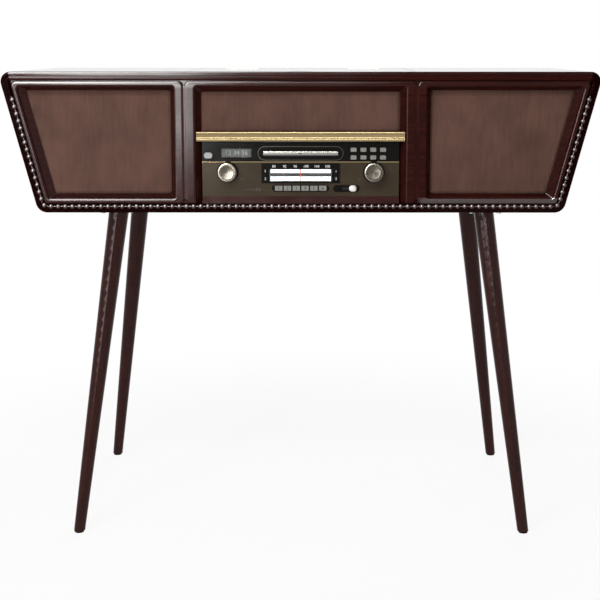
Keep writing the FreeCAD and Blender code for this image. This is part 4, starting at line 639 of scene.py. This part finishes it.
def moulded(name, colour, roughness, grit_mm=1.2, depth_mm=0.02, gloss=0.5):
    """Injection moulded plastic: even colour with a faint cloud, fine grit from the tool, soft highlight."""
    material, tree, shader = finish(name, specular_ior_level=gloss)
    cloud = pattern(tree, (18.0, 18.0, 18.0), detail=4.0)
    grit = pattern(tree, (grit_mm, grit_mm, grit_mm), detail=2.0)
    lay(tree, shader, (cloud, [(0.3, shade(colour, 0.8)), (0.7, colour)]),
        (cloud, roughness + 0.08, roughness), (grit, depth_mm, 0.4))
    return material


def bronze_panel():
    """Bronze lacquer on pressed steel: olive brown, satin, brushed along its length under the lacquer."""
    base = colours().bronze
    material, tree, shader = finish("Bronze lacquered steel", metallic=0.15, specular_ior_level=0.1)
    lines = pattern(tree, (45.0, 1.0, 0.7), detail=4.0, roughness=0.6)
    cloud = pattern(tree, (60.0, 60.0, 30.0), detail=2.0)
    both = add(tree, MATHS, {0: lines, 1: cloud}, operation="MULTIPLY")
    lay(tree, shader, (both, [(0.12, shade(base, 0.68)), (0.42, tuple(base))]), (lines, 0.2, 0.14),
        (lines, 0.015, 0.5))
    return material


def clear_acrylic():
    """Clear acrylic pane: almost unseen, with a clean highlight and hair scratches."""
    material, tree, shader = finish("Clear acrylic", base_color=linear("#f4f7f6"), ior=1.49,
                                    transmission_weight=1.0)
    scratch = pattern(tree, (25.0, 25.0, 0.8), detail=4.0, roughness=0.7)
    worn = add(tree, RAMP, {"Fac": scratch}, [(0.3, grey(0.02)), (0.8, grey(0.07))])
    feed(tree, shader, {"Roughness": worn})
    return material


def lit(name, pale, dark, strength):
    """Acrylic with an even glow, a little duller in patches: on the dial a backlit scale, on the display
    painted light that no lamp gives.
    """
    material, tree, shader = finish(name, roughness=0.4, emission_strength=strength)
    cloud = pattern(tree, (30.0, 30.0, 12.0), detail=2.0)
    glow = add(tree, RAMP, {"Fac": cloud}, [(0.3, linear(dark)), (0.7, linear(pale))])
    feed(tree, shader, {"Base Color": glow, "Emission Color": glow})
    return material


def circuit_board():
    """Glass fibre board under black mask: copper traces show as faint squares through it."""
    material, tree, shader = finish("Black circuit board", roughness=0.45, specular_ior_level=0.2)
    cells = pattern(tree, (6.0, 6.0, 6.0), "ShaderNodeTexVoronoi", {"distance": "MANHATTAN"})
    lay(tree, shader, (cells, [(0.2, linear("#0c0b0a")), (0.5, linear("#1d1812"))]),
        relief=(cells, 0.05, 0.3))
    return material


def slot_finishes():
    """Finish of each material slot of the record."""
    look = colours()
    return {
        "mahogany": mahogany("x", FRONT_GLOSS),
        "plywood": plywood("Birch plywood", "#b8935f", "#8f6b43"),
        "hardboard": hardboard(),
        "grille_cloth": grille_cloth(),
        "gold_trim": brushed("Gold anodised aluminium", tuple(look.gold), 0.08, "x", 0.02, 0.002),
        "hinge_brass": brushed("Pale rolled brass", linear("#dfd5ba"), 0.3, "x"),
        "zinc_steel": brushed("Zinc plated steel", linear("#9a9ea2"), 0.38, "all"),
        "bright_steel": brushed("Polished steel", linear("#c4c6c8"), 0.14, "z"),
        "speaker_steel": moulded("Black enamelled steel", linear("#17171a"), 0.30, 3.0),
        "paper_cone": moulded("Pressed paper", linear("#262220"), 0.85, 1.6, 0.15, 0.2),
        "black_plastic": moulded("Black ABS", tuple(look.black), 0.14, gloss=0.06),
        "deck_board": moulded("Gloss black ABS", linear("#121113"), 0.16, 6.0, 0.004, 0.3),
        "bronze_panel": bronze_panel(),
        "chrome": brushed("Chrome plate", linear("#c4c2be"), 0.10, "all", 0.06, 0.004),
        "tray_metal": brushed("Satin chrome plate", linear("#9a9892"), 0.14, "x"),
        "silver_plastic": moulded("Silver lacquered ABS", linear("#6f6c66"), 0.30, 0.9, 0.012),
        "white_plastic": moulded("White ABS", linear("#ece9e2"), 0.30),
        "clear_plastic": clear_acrylic(),
        "pointer_red": moulded("Red acrylic", linear("#c8301c"), 0.22),
        "aluminium": brushed("Turned aluminium", linear("#bfc0c2"), 0.28, "all"),
        "rubber": moulded("Moulded rubber", linear("#1a1919"), 0.78, 1.0, 0.05, 0.3),
        "circuit_board": circuit_board(),
    }


def extra_finishes():
    """Finishes of single pieces that differ from their slot's."""
    return {
        "mahogany_upright": mahogany("z", 0.14),
        "mahogany_front": shaded_mahogany("x"),
        "mahogany_stile": shaded_mahogany("z"),
        "mahogany_top": mahogany("x", 0.3, 0.0, 0.7),
        "mahogany_pearl": mahogany("x", 0.55, 0.3),
        "stained_plywood": plywood("Stained plywood", "#2b1d17", "#1d130f"),
        # Painted reflection: the spun faces are darker than bare nickel, standing in for the dark
        # surroundings that they reflect.
        "knob_face": spun("Spun nickel with painted dark reflection", linear("#5f5a52"), 0.2),
        "dark_nickel": brushed("Black nickel plate", linear("#3d3a35"), 0.24, "x"),
        "lit_scale": lit("Lit opal acrylic", "#ffffff", "#f6f7ff", 0.75),
        # Painted light: the display's pane and digits glow though no lamp lights them, standing in for the
        # light that reaches them through the window.
        "crystal": lit("Liquid crystal pane with painted glow", "#343530", "#252622", 0.3),
        "crystal_digits": lit("Liquid crystal digits with painted glow", "#88887f", "#73736b", 0.4),
        "print_white": moulded("White screen print", linear("#d9d6cd"), 0.55, 0.5, 0.004),
        "print_grey": moulded("Grey screen print", linear("#83827b"), 0.55, 0.5, 0.004, 0.1),
        "print_black": moulded("Black screen print", linear("#14110d"), 0.5, 0.5, 0.004, 0.2),
    }


NODE_FINISHES = {
    "baffle_boards": "stained_plywood",
    "front_frame": "mahogany_front",
    "top_boards": "mahogany_top",
    "lid": "mahogany_top",
    # The tray is black plastic; its dark face under the bright bar also stands in for the shadow and dark
    # reflection there (painted shade).
    "cd_tray": "black_plastic",
    "side_panels": "mahogany_upright",
    **{f"{end}_{side}_leg": "mahogany_upright" for end in ("front", "rear") for side in ("left", "right")},
}


class RECORDPLAYER_OT_finishes(bpy.types.Operator):
    """Gives every carried-over piece the finish of its slot"""
    bl_idname = "record_player.finishes"
    bl_label = "Finishes"

    def execute(self, context):
        FINISHES.update(slot_finishes())
        FINISHES.update(extra_finishes())
        for row in frame["record"]["subparts"]:
            slots = frame["nodes"][row["node"]].data.materials
            slots.clear()
            slots.append(FINISHES[NODE_FINISHES.get(row["node"], row["material_slot"])])
        return {"FINISHED"}


# Pieces

def bead_rows():
    """Start and end, as (x, z) in millimetres, of the right and bottom bead rows, and the corner pearl.

    The rows keep the places of the carried-over moulding: the bottom row lies one pearl radius above its
    lowest point, and the side row leans by the slope and ends at its highest point.
    """
    low, high = BEAD_BOX
    rise = np.array([SIDE_SLOPE, 1.0]) / math.hypot(SIDE_SLOPE, 1.0)
    top = np.array([high[0] - BEAD_R * rise[1], high[2] - BEAD_R * rise[0]])
    corner = np.array([top[0] - SIDE_SLOPE * (top[1] - low[2] - BEAD_R), low[2] + BEAD_R])
    half = math.acos(-rise[0]) / 2
    reach = BEAD_BEND_R / math.tan(half)
    inward = np.array([-1.0, 0.0]) + rise
    middle = corner + inward / np.linalg.norm(inward) * (BEAD_BEND_R / math.sin(half) - BEAD_BEND_R)
    end = np.array([corner[0] - reach, corner[1]])
    return (corner + rise * reach, top), (end * [-1, 1], end), middle


def bead_string(start, end):
    """String of pearls: a half circle carried along a line, its radius that of a ball or of the neck."""
    neck, pitch = sizes().bead_neck / MM, sizes().bead_pitch / MM
    run = np.asarray(end) - np.asarray(start)
    total = np.linalg.norm(run)
    count = max(1, round(total / pitch))
    t = np.linspace(0, count, count * PEARL_STEPS + 1)
    off = np.abs(t % 1 - 0.5) * total / count
    swell = np.maximum(neck, np.sqrt(np.maximum(BEAD_R ** 2 - off ** 2, 0.0)))
    turn = np.linspace(0, np.pi, PEARL_TURNS)
    along, side = run / total, np.array([-run[1], run[0]]) / total
    base = np.asarray(start) + np.outer(t / count * total, along)
    across = swell[:, None] * np.cos(turn)
    forward = swell[:, None] * np.sin(turn)
    x = base[:, :1] + across * side[0]
    z = base[:, 1:] + across * side[1]
    return tube(np.stack([x, BEAD_BOX[1][1] - forward, z], -1))


def pearl(at):
    """Half sphere standing out of the frame: rings of latitude about an axis to the front."""
    angle = np.linspace(0, np.pi / 2 * POLE_STOP, 9)
    profile = np.stack([BEAD_R * np.cos(angle), -BEAD_R * np.sin(angle)], -1)
    return turned(profile, (at[0], BEAD_BOX[1][1], at[1]), 24)


class RECORDPLAYER_OT_beads(bpy.types.Operator):
    """Pearl moulding up both sides and along the bottom"""
    bl_idname = "record_player.beads"
    bl_label = "Bead Moulding"

    def execute(self, context):
        side, bottom, corner = bead_rows()
        flip = np.array([-1, 1])
        strings = [side, (side[1] * flip, side[0] * flip), bottom]
        parts = [bead_string(*s) for s in strings] + [pearl(corner), pearl(corner * flip)]
        mesh_piece("bead_moulding", joined(parts), "mahogany_pearl", replaced=["bead_trim"],
                   smooth=True)
        return {"FINISHED"}


def stretched_cloth(node, slope, extra_top):
    """Cloth stretched in an opening: straight edges, one leaning by a slope, and a crown of two parabolas.

    The crown is 16 u (1 - u) v (1 - v) of its height at the middle. The slanted edge starts beyond the
    node's box by what its round corner takes off.
    """
    low, high = box_mm(node)
    high[2] += extra_top
    round_off = OPENING_CORNER_R * (abs(slope) + math.hypot(slope, 1.0) - 1.0)
    low[0] -= round_off if slope < 0 else 0.0
    high[0] += round_off if slope > 0 else 0.0
    u, v = np.meshgrid(*(np.linspace(0, 1, count) for count in CLOTH_GRID))
    z = low[2] + v * (high[2] - low[2])
    lean = abs(slope) * (high[2] - z)
    left = low[0] + (lean if slope < 0 else 0.0)
    right = high[0] - (lean if slope > 0 else 0.0)
    x = left + u * (right - left)
    crown = sizes().cloth_crown / MM * 16 * u * (1 - u) * v * (1 - v)
    points = np.stack([x, low[1] + CLOTH_T - crown, z], -1)
    shape = points.reshape(-1, 3), grid_faces(*points.shape[:2])
    name = node.replace("grille", "speaker")
    piece = mesh_piece(name, shape, "grille_cloth", replaced=[node], smooth=True)
    thick = piece.modifiers.new("Cloth thickness", "SOLIDIFY")
    thick.thickness = CLOTH_T * MM
    thick.offset = -1


class RECORDPLAYER_OT_cloths(bpy.types.Operator):
    """Three pieces of cloth stretched over the baffle boards"""
    bl_idname = "record_player.cloths"
    bl_label = "Grille Cloths"

    def execute(self, context):
        stretched_cloth("left_grille_cloth", -SIDE_SLOPE, 0.0)
        stretched_cloth("right_grille_cloth", SIDE_SLOPE, 0.0)
        stretched_cloth("centre_grille_cloth", 0.0, OPENING_CORNER_R)
        return {"FINISHED"}


def roll(y, z, radius, start, stop):
    """Arc of a (y, z) outline about a middle, from one angle to another; 90 degrees points to the front."""
    angle = np.radians(np.linspace(start, stop, 13))
    return [(y - radius * math.sin(a), z + radius * math.cos(a)) for a in angle]


class RECORDPLAYER_OT_trim(bpy.types.Operator):
    """Gold bar with two rolls and a hollow, wooden sill under the fascia, bright line over the panel"""
    bl_idname = "record_player.trim"
    bl_label = "Bar and Sill"

    def execute(self, context):
        (x0, front, low), (x1, back, high) = box_mm("gold_bar")
        r = BAR_ROLL_R
        lip = front + BAR_LIP
        outline = [(back, low), (front + r, low)] + roll(front + r, low + r, r, 180, BAR_ROLL_STOP)
        outline += [(lip, low + 2 * r + BAR_LIP_H), (front + BAR_HOLLOW, (low + high) / 2),
                    (lip, high - 2 * r - BAR_LIP_H)]
        outline += roll(front + r, high - r, r, 180 - BAR_ROLL_STOP, 0) + [(back, high)]
        bar = prism(outline, 0, x0, x1)
        mesh_piece("gold_bar_rolled", bar, "gold_trim", replaced=["gold_bar"], smooth=True)

        low, top, half = PANEL_BOX[0][2], PANEL_BOX[1][2], PANEL_BOX[1][0]
        face = FASCIA_Y - SKIN
        nose, foot = face - SILL_DEPTH, low + SILL_FOOT
        sill = [(face, low + SILL_H), (face - SILL_LIP, low + SILL_H), (nose, low + SILL_NOSE), (nose, foot),
                (PANEL_BOX[0][1] - SKIN, foot), (face, low + SILL_HEEL)]
        mesh_piece("fascia_sill", prism(sill, 0, -half, half), "mahogany")
        lower, upper = (top - drop for drop in LINE_DROP)
        line = bars([(-half, FASCIA_Y - LINE_PROUD, lower)], [(half, FASCIA_Y, upper)])
        mesh_piece("panel_top_line", line, "gold_trim")
        return {"FINISHED"}


class RECORDPLAYER_OT_stiles(bpy.types.Operator):
    """Soft hollows that join the two ridges of each stile: one wave of a cosine across"""
    bl_idname = "record_player.stiles"
    bl_label = "Stile Hollows"

    def execute(self, context):
        front, (low, high) = FRAME_BOX[0][1], FRAME_BOX[:, 2]
        half = STILE_HOLLOW_W / 2
        across = np.linspace(-half, half, 25)
        sink = STILE_HOLLOW_DEPTH * (0.5 + 0.5 * np.cos(2 * np.pi * across / STILE_HOLLOW_W))
        hollow = [(x, front + y) for x, y in zip(across, sink)]
        hollow += [(half, front + STILE_BACK), (-half, front + STILE_BACK)]
        parts = [prism(np.array(hollow) + [side * STILE_SEAM_X, 0], 2, low + STILE_END, high - STILE_END)
                 for side in (-1, 1)]
        mesh_piece("stile_hollows", joined(parts), "mahogany_stile", smooth=True)
        return {"FINISHED"}


def lettering(words, front_y, depth=LETTER_T):
    """Mesh of plain words facing the front: each is (text, x, z of its middle, height), all at one depth."""
    parts = []
    for text, x, z, height in words:
        curve = bpy.data.curves.new("lettering", "FONT")
        curve.body = text
        curve.align_x, curve.align_y = "CENTER", "CENTER"
        curve.size = height / CAPITAL_SHARE
        curve.extrude = depth / 2
        curve.resolution_u = 3
        shape = bpy.data.objects.new("lettering", curve)
        bpy.context.scene.collection.objects.link(shape)
        bpy.context.view_layer.update()
        mesh = bpy.data.meshes.new_from_object(shape.evaluated_get(bpy.context.evaluated_depsgraph_get()))
        points = np.empty(len(mesh.vertices) * 3)
        mesh.vertices.foreach_get("co", points)
        points = points.reshape(-1, 3)[:, [0, 2, 1]] * [1, -1, 1] + [x, front_y + depth / 2, z]
        parts.append((points, [list(p.vertices) for p in mesh.polygons]))
        bpy.data.objects.remove(shape)
        bpy.data.curves.remove(curve)
        bpy.data.meshes.remove(mesh)
    return joined(parts)


class RECORDPLAYER_OT_dial(bpy.types.Operator):
    """Lit scale of the tuning dial, its ticks and plain numbers"""
    bl_idname = "record_player.dial"
    bl_label = "Tuning Dial"

    def execute(self, context):
        low, high = DIAL_BOX
        backing_y = box_mm("dial_pointer")[1][1] + POINTER_GAP - BACKING_T
        lit_y = backing_y - LIT_T
        tick_y = lit_y - INK_T
        wide, tall = (side - DIAL_FIT for side in DIAL_WINDOW)
        backing = front_bars([[0, low[2] + DIAL_UP]], wide, tall, backing_y, BACKING_T)
        mesh_piece("dial_backing", backing, "print_black")
        middles, heights = low[2] + LIT_STRIPS[:, 0], LIT_STRIPS[:, 1]
        strips = front_bars([[0, z] for z in middles], LIT_W, heights, lit_y, LIT_T)
        mesh_piece("dial_strips", strips, "lit_scale")

        reach = LIT_W / 2 - TICK_MARGIN
        places = np.linspace(-reach, reach, TICK_COUNT)
        ticks = np.where(np.arange(TICK_COUNT) % TICK_EVERY == 0, TICK_LONG, TICK_SHORT)
        marks = []
        for way, z, height in zip((1, -1), middles, heights):
            rows = z + way * (height / 2 + TICK_OVER - ticks / 2)
            marks.append(front_bars(np.column_stack([places, rows]), TICK_W, ticks, tick_y, INK_T))
        mesh_piece("dial_ticks", joined(marks), "print_black")

        size = sizes().numeral / MM
        spots = np.linspace(-STATION_REACH, STATION_REACH, len(STATIONS))
        words = [(str(n), x, high[2] - STATION_DROP, size) for n, x in zip(STATIONS, spots)]
        words += [(text, side * BAND_X, z, size) for side in (-1, 1) for text, z in zip("12", middles[::-1])]
        numbers = lettering(words, low[1] - NUMBER_PROUD)
        mesh_piece("dial_numbers", numbers, "print_white")
        return {"FINISHED"}


class RECORDPLAYER_OT_prints(bpy.types.Operator):
    """Display pane, legend plate and the plain printed marks of the fascia"""
    bl_idname = "record_player.prints"
    bl_label = "Display and Prints"

    def execute(self, context):
        x, z = DISPLAY_X, STRIP_BOX[0][2] + DISPLAY_UP
        dial_z = DIAL_BOX[0][2] + DIAL_UP
        glass = [front_bars([[x, z]], *DISPLAY_SIZE, FASCIA_Y - GLASS_PROUD, GLASS_T),
                 front_bars([[0, dial_z]], *DIAL_WINDOW, FASCIA_Y - DIAL_GLASS_T, DIAL_GLASS_T)]
        mesh_piece("window_panes", joined(glass), "clear_plastic",
                   replaced=["fascia_windows"])
        pane = front_bars([[x, z]], *(DISPLAY_SIZE - DISPLAY_FIT), FASCIA_Y + PANE_IN, PANE_T)
        mesh_piece("display_pane", pane, "crystal")
        digits = lettering([("12 34 56", x, z, DIGIT_H)], FASCIA_Y + DIGIT_IN, DIGIT_T)
        mesh_piece("display_digits", digits, "crystal_digits")

        z = PANEL_BOX[0][2] + LEGEND_UP
        front, back = (FASCIA_Y - proud for proud in LEGEND_PROUD)
        plate = prism(stadium(0, z, *LEGEND_PLATE), 1, front, back)
        mesh_piece("legend_plate", plate, "black_plastic")
        front -= LEGEND_INK_T
        places = np.linspace(-LEGEND_REACH, LEGEND_REACH, LEGEND_CELLS)
        cells = front_bars([[place, z] for place in places], *LEGEND_CELL, front, LEGEND_INK_T)
        mesh_piece("legend_cells", cells, "print_grey")
        front -= LEGEND_INK_T
        words = [(str(n + 1), place, z, LEGEND_NUMBER_H) for n, place in enumerate(places)]
        numbers = lettering(words, front, LEGEND_INK_T)
        mesh_piece("legend_numbers", numbers, "print_black")

        z = KNOB_Z - KNOB_MARK_DROP
        ends = [[knob[0] + way * KNOB_MARK_REACH, z] for knob in KNOBS.values() for way in (-1, 1)]
        count = np.arange(STEP_COUNT)
        steps = [[STEP_START + STEP_PITCH * k, KNOB_Z - STEP_DROP] for k in count]
        marks = [front_bars(ends, *KNOB_MARK, FASCIA_Y - INK_T, INK_T),
                 front_bars(steps, STEP_W, STEP_H + STEP_RISE * count, FASCIA_Y - INK_T, INK_T)]
        mesh_piece("panel_marks", joined(marks), "print_black")
        return {"FINISHED"}


class RECORDPLAYER_OT_tray(bpy.types.Operator):
    """Rounded bright bar along the front of the disc tray, a dark mark at its middle and the bezel's rim"""
    bl_idname = "record_player.tray"
    bl_label = "Tray Front"

    def execute(self, context):
        low, high = box_mm("cd_tray")
        middle = low[2] + TRAY_UP
        angle = np.radians(np.linspace(0, 180, 15))
        arc = [(low[1] - TRAY_BAR_PROUD * math.sin(a), middle + TRAY_BAR_HALF * math.cos(a)) for a in angle]
        bar = prism(arc, 0, low[0] + TRAY_BAR_INSET, high[0] - TRAY_BAR_INSET)
        mesh_piece("tray_bar", bar, "tray_metal", "cd_tray", smooth=True)
        outer, inner = (stadium(0, middle, *(BEZEL_SIZE - take)) for take in (0.0, 2 * BEZEL_RIM))
        rim = flat_ring(outer, inner, STRIP_BOX[0][1] - BEZEL_T, STRIP_BOX[0][1])
        mesh_piece("tray_bezel_rim", rim, "dark_nickel")
        front = low[1] - TRAY_BAR_PROUD - TRAY_MARK_PROUD
        mark = front_bars([[0, middle]], *TRAY_MARK, front, BEZEL_T)
        mesh_piece("tray_mark", mark, "print_black", "cd_tray")
        return {"FINISHED"}


class RECORDPLAYER_OT_switch(bpy.types.Operator):
    """Domed cap of the slide switch and the dark plate round its slot, which stands in for the shadow there
    (painted shade)
    """
    bl_idname = "record_player.switch"
    bl_label = "Slide Switch"

    def execute(self, context):
        low, high = box_mm("band_switch")
        x, _, z = (low + high) / 2
        turn = np.linspace(0, 2 * np.pi, 48, endpoint=False)
        across, up = (half * np.sign(wave) * np.abs(wave) ** (2 / SWITCH_POWER)
                      for half, wave in ((SWITCH_W / 2, np.cos(turn)), (SWITCH_H / 2, np.sin(turn))))
        climb = np.linspace(0, np.pi / 2 * SWITCH_DOME, 14)[:, None]
        share = np.sqrt(np.cos(climb))
        back = FASCIA_Y - SWITCH_GAP
        forward = back + (low[1] - back) * np.sin(climb) * np.ones(len(turn))
        dome = tube(np.stack([x + share * across, forward, z + share * up], -1))
        wide, tall = SWITCH_STEM
        stem = bars([(x - wide, back, z - tall)], [(x + wide, high[1], z + tall)])
        mesh_piece("switch_cap", joined([dome, stem]), "white_plastic", "band_switch",
                   ["band_switch"], smooth=True)
        # Painted shade: the black plate round the slot stands in for the shadow there.
        middle = x - SWITCH_TRAVEL / 2
        front, back = (FASCIA_Y + y for y in SWITCH_SHADOW_PLATE_Y)
        outer = stadium(middle - SWITCH_SHADOW_PLATE_SHIFT, z, *SWITCH_SHADOW_PLATE)
        plate = flat_ring(outer, stadium(middle, z, *SWITCH_SLOT), front, back)
        mesh_piece("switch_shadow_plate", plate, "black_plastic")
        return {"FINISHED"}


def knob_profiles():
    """Half sections (radius, y from the fascia) of a knob: the dark skirt and the bright cap before it."""
    radius = sizes().knob_radius / MM
    back = -KNOB_GAP
    front = back - KNOB_H
    edge, face = radius + SKIRT_OUT, back - SKIRT_T
    skirt = [(AXIS_R, back + STEM_L), (STEM_R, back + STEM_L), (STEM_R, back), (edge, back),
             (edge, face + SKIRT_BEVEL), (edge - SKIRT_BEVEL, face), (AXIS_R, face)]
    cap = [(AXIS_R, face - KNOB_SEAM), (radius, face - KNOB_SEAM), (radius, front + KNOB_ROUND)]
    cap += [(radius - KNOB_ROUND * (1 - math.cos(a)), front + KNOB_ROUND * (1 - math.sin(a)))
            for a in np.linspace(0.2, math.pi / 2, 6)]
    cap += [(radius - inset, front + depth) for inset, depth in KNOB_RING]
    cap += [(r, front + depth) for r, depth in KNOB_DISH]
    return skirt, cap


class RECORDPLAYER_OT_knobs(bpy.types.Operator):
    """Two knobs with dark skirts, ribbed rims and spun faces; the black skirt that stands out round each cap
    is partly painted shadow
    """
    bl_idname = "record_player.knobs"
    bl_label = "Knobs"

    def execute(self, context):
        depth = sizes().knurl_depth / MM
        skirt, cap = knob_profiles()

        def ribs(angle, index):
            """Cosine ribs on the two rings of the cap's rim, which follow its first point."""
            return -depth * (0.5 + 0.5 * np.cos(KNURLS * angle)) * ((index == 1) | (index == 2))

        for node, (x, _, z) in KNOBS.items():
            centre = (x, FASCIA_Y, z)
            ribbed = turned(cap, centre, KNURLS * KNURL_STEPS, ribs)
            mesh_piece(node + "_cap", ribbed, "knob_face", node, [node], smooth=True)
            # Black skirt: a real part of the knob, whose dark ring round the cap also stands in for the
            # knob's shadow (painted shadow).
            flange = turned(skirt, centre)
            mesh_piece(node + "_skirt_with_painted_shadow", flange, "black_plastic", node, smooth=True)
        return {"FINISHED"}


class RECORDPLAYER_OT_mat(bpy.types.Operator):
    """Rubber mat of the platter: a closed section carried round its middle, with cosine rings on top"""
    bl_idname = "record_player.mat"
    bl_label = "Platter Mat"

    def execute(self, context):
        low, high = box_mm("platter_mat")
        centre = (low + high) / 2
        radius = (high[0] - low[0]) / 2
        rib = sizes().mat_rib / MM
        r = np.linspace(radius - MAT_EDGE, MAT_RIBS_END, 240)
        z = high[2] - MAT_RIB_H * (0.5 - 0.5 * np.cos(2 * np.pi * (r - radius) / rib))
        label, (wide, deep) = high[2] - MAT_LABEL_DEPTH, MAT_BORE_BEVEL
        ring = [(MAT_BORE_R, low[2]), (radius, low[2]), (radius, high[2] - MAT_SHOULDER), *zip(r, z)]
        ring += [(MAT_LABEL_R, label), (MAT_BORE_R + wide, label), (MAT_BORE_R, label - deep)]
        points = lathe(ring, (centre[0], 0.0, centre[1]), MAT_SIDES)[..., [0, 2, 1]]
        faces = grid_faces(len(ring), MAT_SIDES, wrap_rows=True, wrap_columns=True)
        shape = points.reshape(-1, 3), faces
        mesh_piece("ribbed_mat", shape, "rubber", "platter", ["platter_mat"], smooth=True)
        return {"FINISHED"}


# Stage

def seen_white(tree):
    """One for rays from the camera, off gloss and through glass, which see the white studio; else zero."""
    path = add(tree, "ShaderNodeLightPath", {}).outputs
    seen = add(tree, MATHS, {0: path["Is Camera Ray"], 1: path["Is Glossy Ray"]}, operation="MAXIMUM")
    return add(tree, MATHS, {0: seen, 1: path["Is Transmission Ray"]}, operation="MAXIMUM")


def spare_bright_pieces():
    """Collection that keeps a lamp off the gold bar and the top, where its image would clip to white."""
    spared = bpy.data.collections.new("Spared pieces")
    for piece in (bpy.data.objects["gold_bar_rolled"], frame["nodes"]["top_boards"], frame["nodes"]["lid"]):
        spared.objects.link(piece)
    for row in spared.collection_objects:
        row.light_linking.link_state = "EXCLUDE"
    return spared


def lamp(name, place_m, aim_m, size_m, watts, lights, spared):
    """Soft rectangular lamp at a place, aimed at a point; one that does not light shows only in gloss."""
    light = bpy.data.lights.new(name, "AREA")
    light.shape = "RECTANGLE"
    light.size, light.size_y = size_m
    light.energy = watts
    made = bpy.data.objects.new(name, light)
    bpy.context.scene.collection.objects.link(made)
    made.visible_diffuse = lights
    made.visible_transmission = lights
    made.light_linking.receiver_collection = spared
    made.location = place_m
    aim = np.array(aim_m) - np.array(place_m)
    tilt = math.atan2(math.hypot(aim[0], aim[1]), -aim[2])
    made.rotation_euler = (tilt, 0.0, math.atan2(aim[1], aim[0]) - math.pi / 2)


def paper_floor():
    """Pale paper that takes a faint shadow near the feet and is white to the camera further off."""
    material, tree, shader = finish("Pale paper floor", base_color=linear("#f2f1ef"), roughness=0.9,
                                    specular_ior_level=0.1)
    glow = add(tree, "ShaderNodeEmission", {"Color": linear("#ffffff"), "Strength": 1.0})
    where = add(tree, "ShaderNodeTexCoord", {}).outputs["Object"]
    far = add(tree, "ShaderNodeVectorMath", {0: where}, operation="LENGTH").outputs["Value"]
    fade = add(tree, RANGE, {"Value": far, **FLOOR_FADE}, interpolation_type="SMOOTHSTEP")
    share = add(tree, MATHS, {0: seen_white(tree), 1: fade}, operation="MULTIPLY")
    paper = add(tree, "ShaderNodeMixShader", {0: share, 1: shader, 2: glow})
    feed(tree, tree.nodes["Material Output"], {"Surface": paper})
    return material


class RECORDPLAYER_OT_stage(bpy.types.Operator):
    """Pale floor, soft studio light and the camera"""
    bl_idname = "record_player.stage"
    bl_label = "Stage"

    def execute(self, context):
        scene = context.scene
        scene.view_settings.view_transform = "Standard"
        world = bpy.data.worlds.new("Studio")
        scene.world = world
        world.use_nodes = True
        tree = world.node_tree
        level = add(tree, RANGE, {"Value": seen_white(tree), "To Min": AMBIENT, "To Max": 1.0})
        feed(tree, tree.nodes["Background"], {"Color": linear("#ffffff"), "Strength": level})

        angle = np.linspace(0, 2 * np.pi, FLOOR_SIDES, endpoint=False)
        rim = np.stack([FLOOR_R * np.cos(angle), FLOOR_R * np.sin(angle), np.full(FLOOR_SIDES, FLOOR_Z)], -1)
        mesh = bpy.data.meshes.new("floor")
        mesh.from_pydata(rim.tolist(), [], [list(range(FLOOR_SIDES))])
        floor = bpy.data.objects.new("floor", mesh)
        scene.collection.objects.link(floor)
        mesh.materials.append(paper_floor())

        spared = spare_bright_pieces()
        for *settings, spares in LAMPS:
            lamp(*settings, spared if spares else None)

        camera = bpy.data.cameras.new("Camera")
        camera.sensor_width = CAMERA_SENSOR
        camera.lens = CAMERA_LENS
        camera.shift_x, camera.shift_y = CAMERA_SHIFT
        eye = bpy.data.objects.new("Camera", camera)
        scene.collection.objects.link(eye)
        eye.location = CAMERA_PLACE
        eye.rotation_euler = (CAMERA_TILT, 0.0, CAMERA_YAW)
        scene.camera = eye
        return {"FINISHED"}


OPERATORS = [
    RECORDPLAYER_OT_finishes,
    RECORDPLAYER_OT_beads,
    RECORDPLAYER_OT_cloths,
    RECORDPLAYER_OT_trim,
    RECORDPLAYER_OT_stiles,
    RECORDPLAYER_OT_dial,
    RECORDPLAYER_OT_prints,
    RECORDPLAYER_OT_tray,
    RECORDPLAYER_OT_switch,
    RECORDPLAYER_OT_knobs,
    RECORDPLAYER_OT_mat,
    RECORDPLAYER_OT_stage,
]


class RECORDPLAYER_PT_panel(bpy.types.Panel):
    """Sidebar list of the record player's pieces"""
    bl_idname = "RECORDPLAYER_PT_panel"
    bl_label = "Record Player"
    bl_space_type = "VIEW_3D"
    bl_region_type = "UI"
    bl_category = "Record Player"

    def draw(self, context):
        for operator in OPERATORS:
            self.layout.operator(operator.bl_idname)
        for group in (sizes(), colours()):
            for name in group.__annotations__:
                self.layout.prop(group, name)


CLASSES = [RecordPlayerSizes, RecordPlayerColours, *OPERATORS, RECORDPLAYER_PT_panel]


def register():
    """Registers the classes and puts both property groups on the scene."""
    for cls in CLASSES:
        bpy.utils.register_class(cls)
    bpy.types.Scene.record_player_sizes = bpy.props.PointerProperty(type=RecordPlayerSizes)
    bpy.types.Scene.record_player_colours = bpy.props.PointerProperty(type=RecordPlayerColours)


def unregister():
    """Takes the property groups and the classes away again."""
    del bpy.types.Scene.record_player_colours
    del bpy.types.Scene.record_player_sizes
    for cls in reversed(CLASSES):
        bpy.utils.unregister_class(cls)


def main():
    """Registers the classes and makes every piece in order."""
    register()
    for operator in OPERATORS:
        group, name = operator.bl_idname.split(".")
        getattr(getattr(bpy.ops, group), name)()


if __name__ == "__main__":
    main()
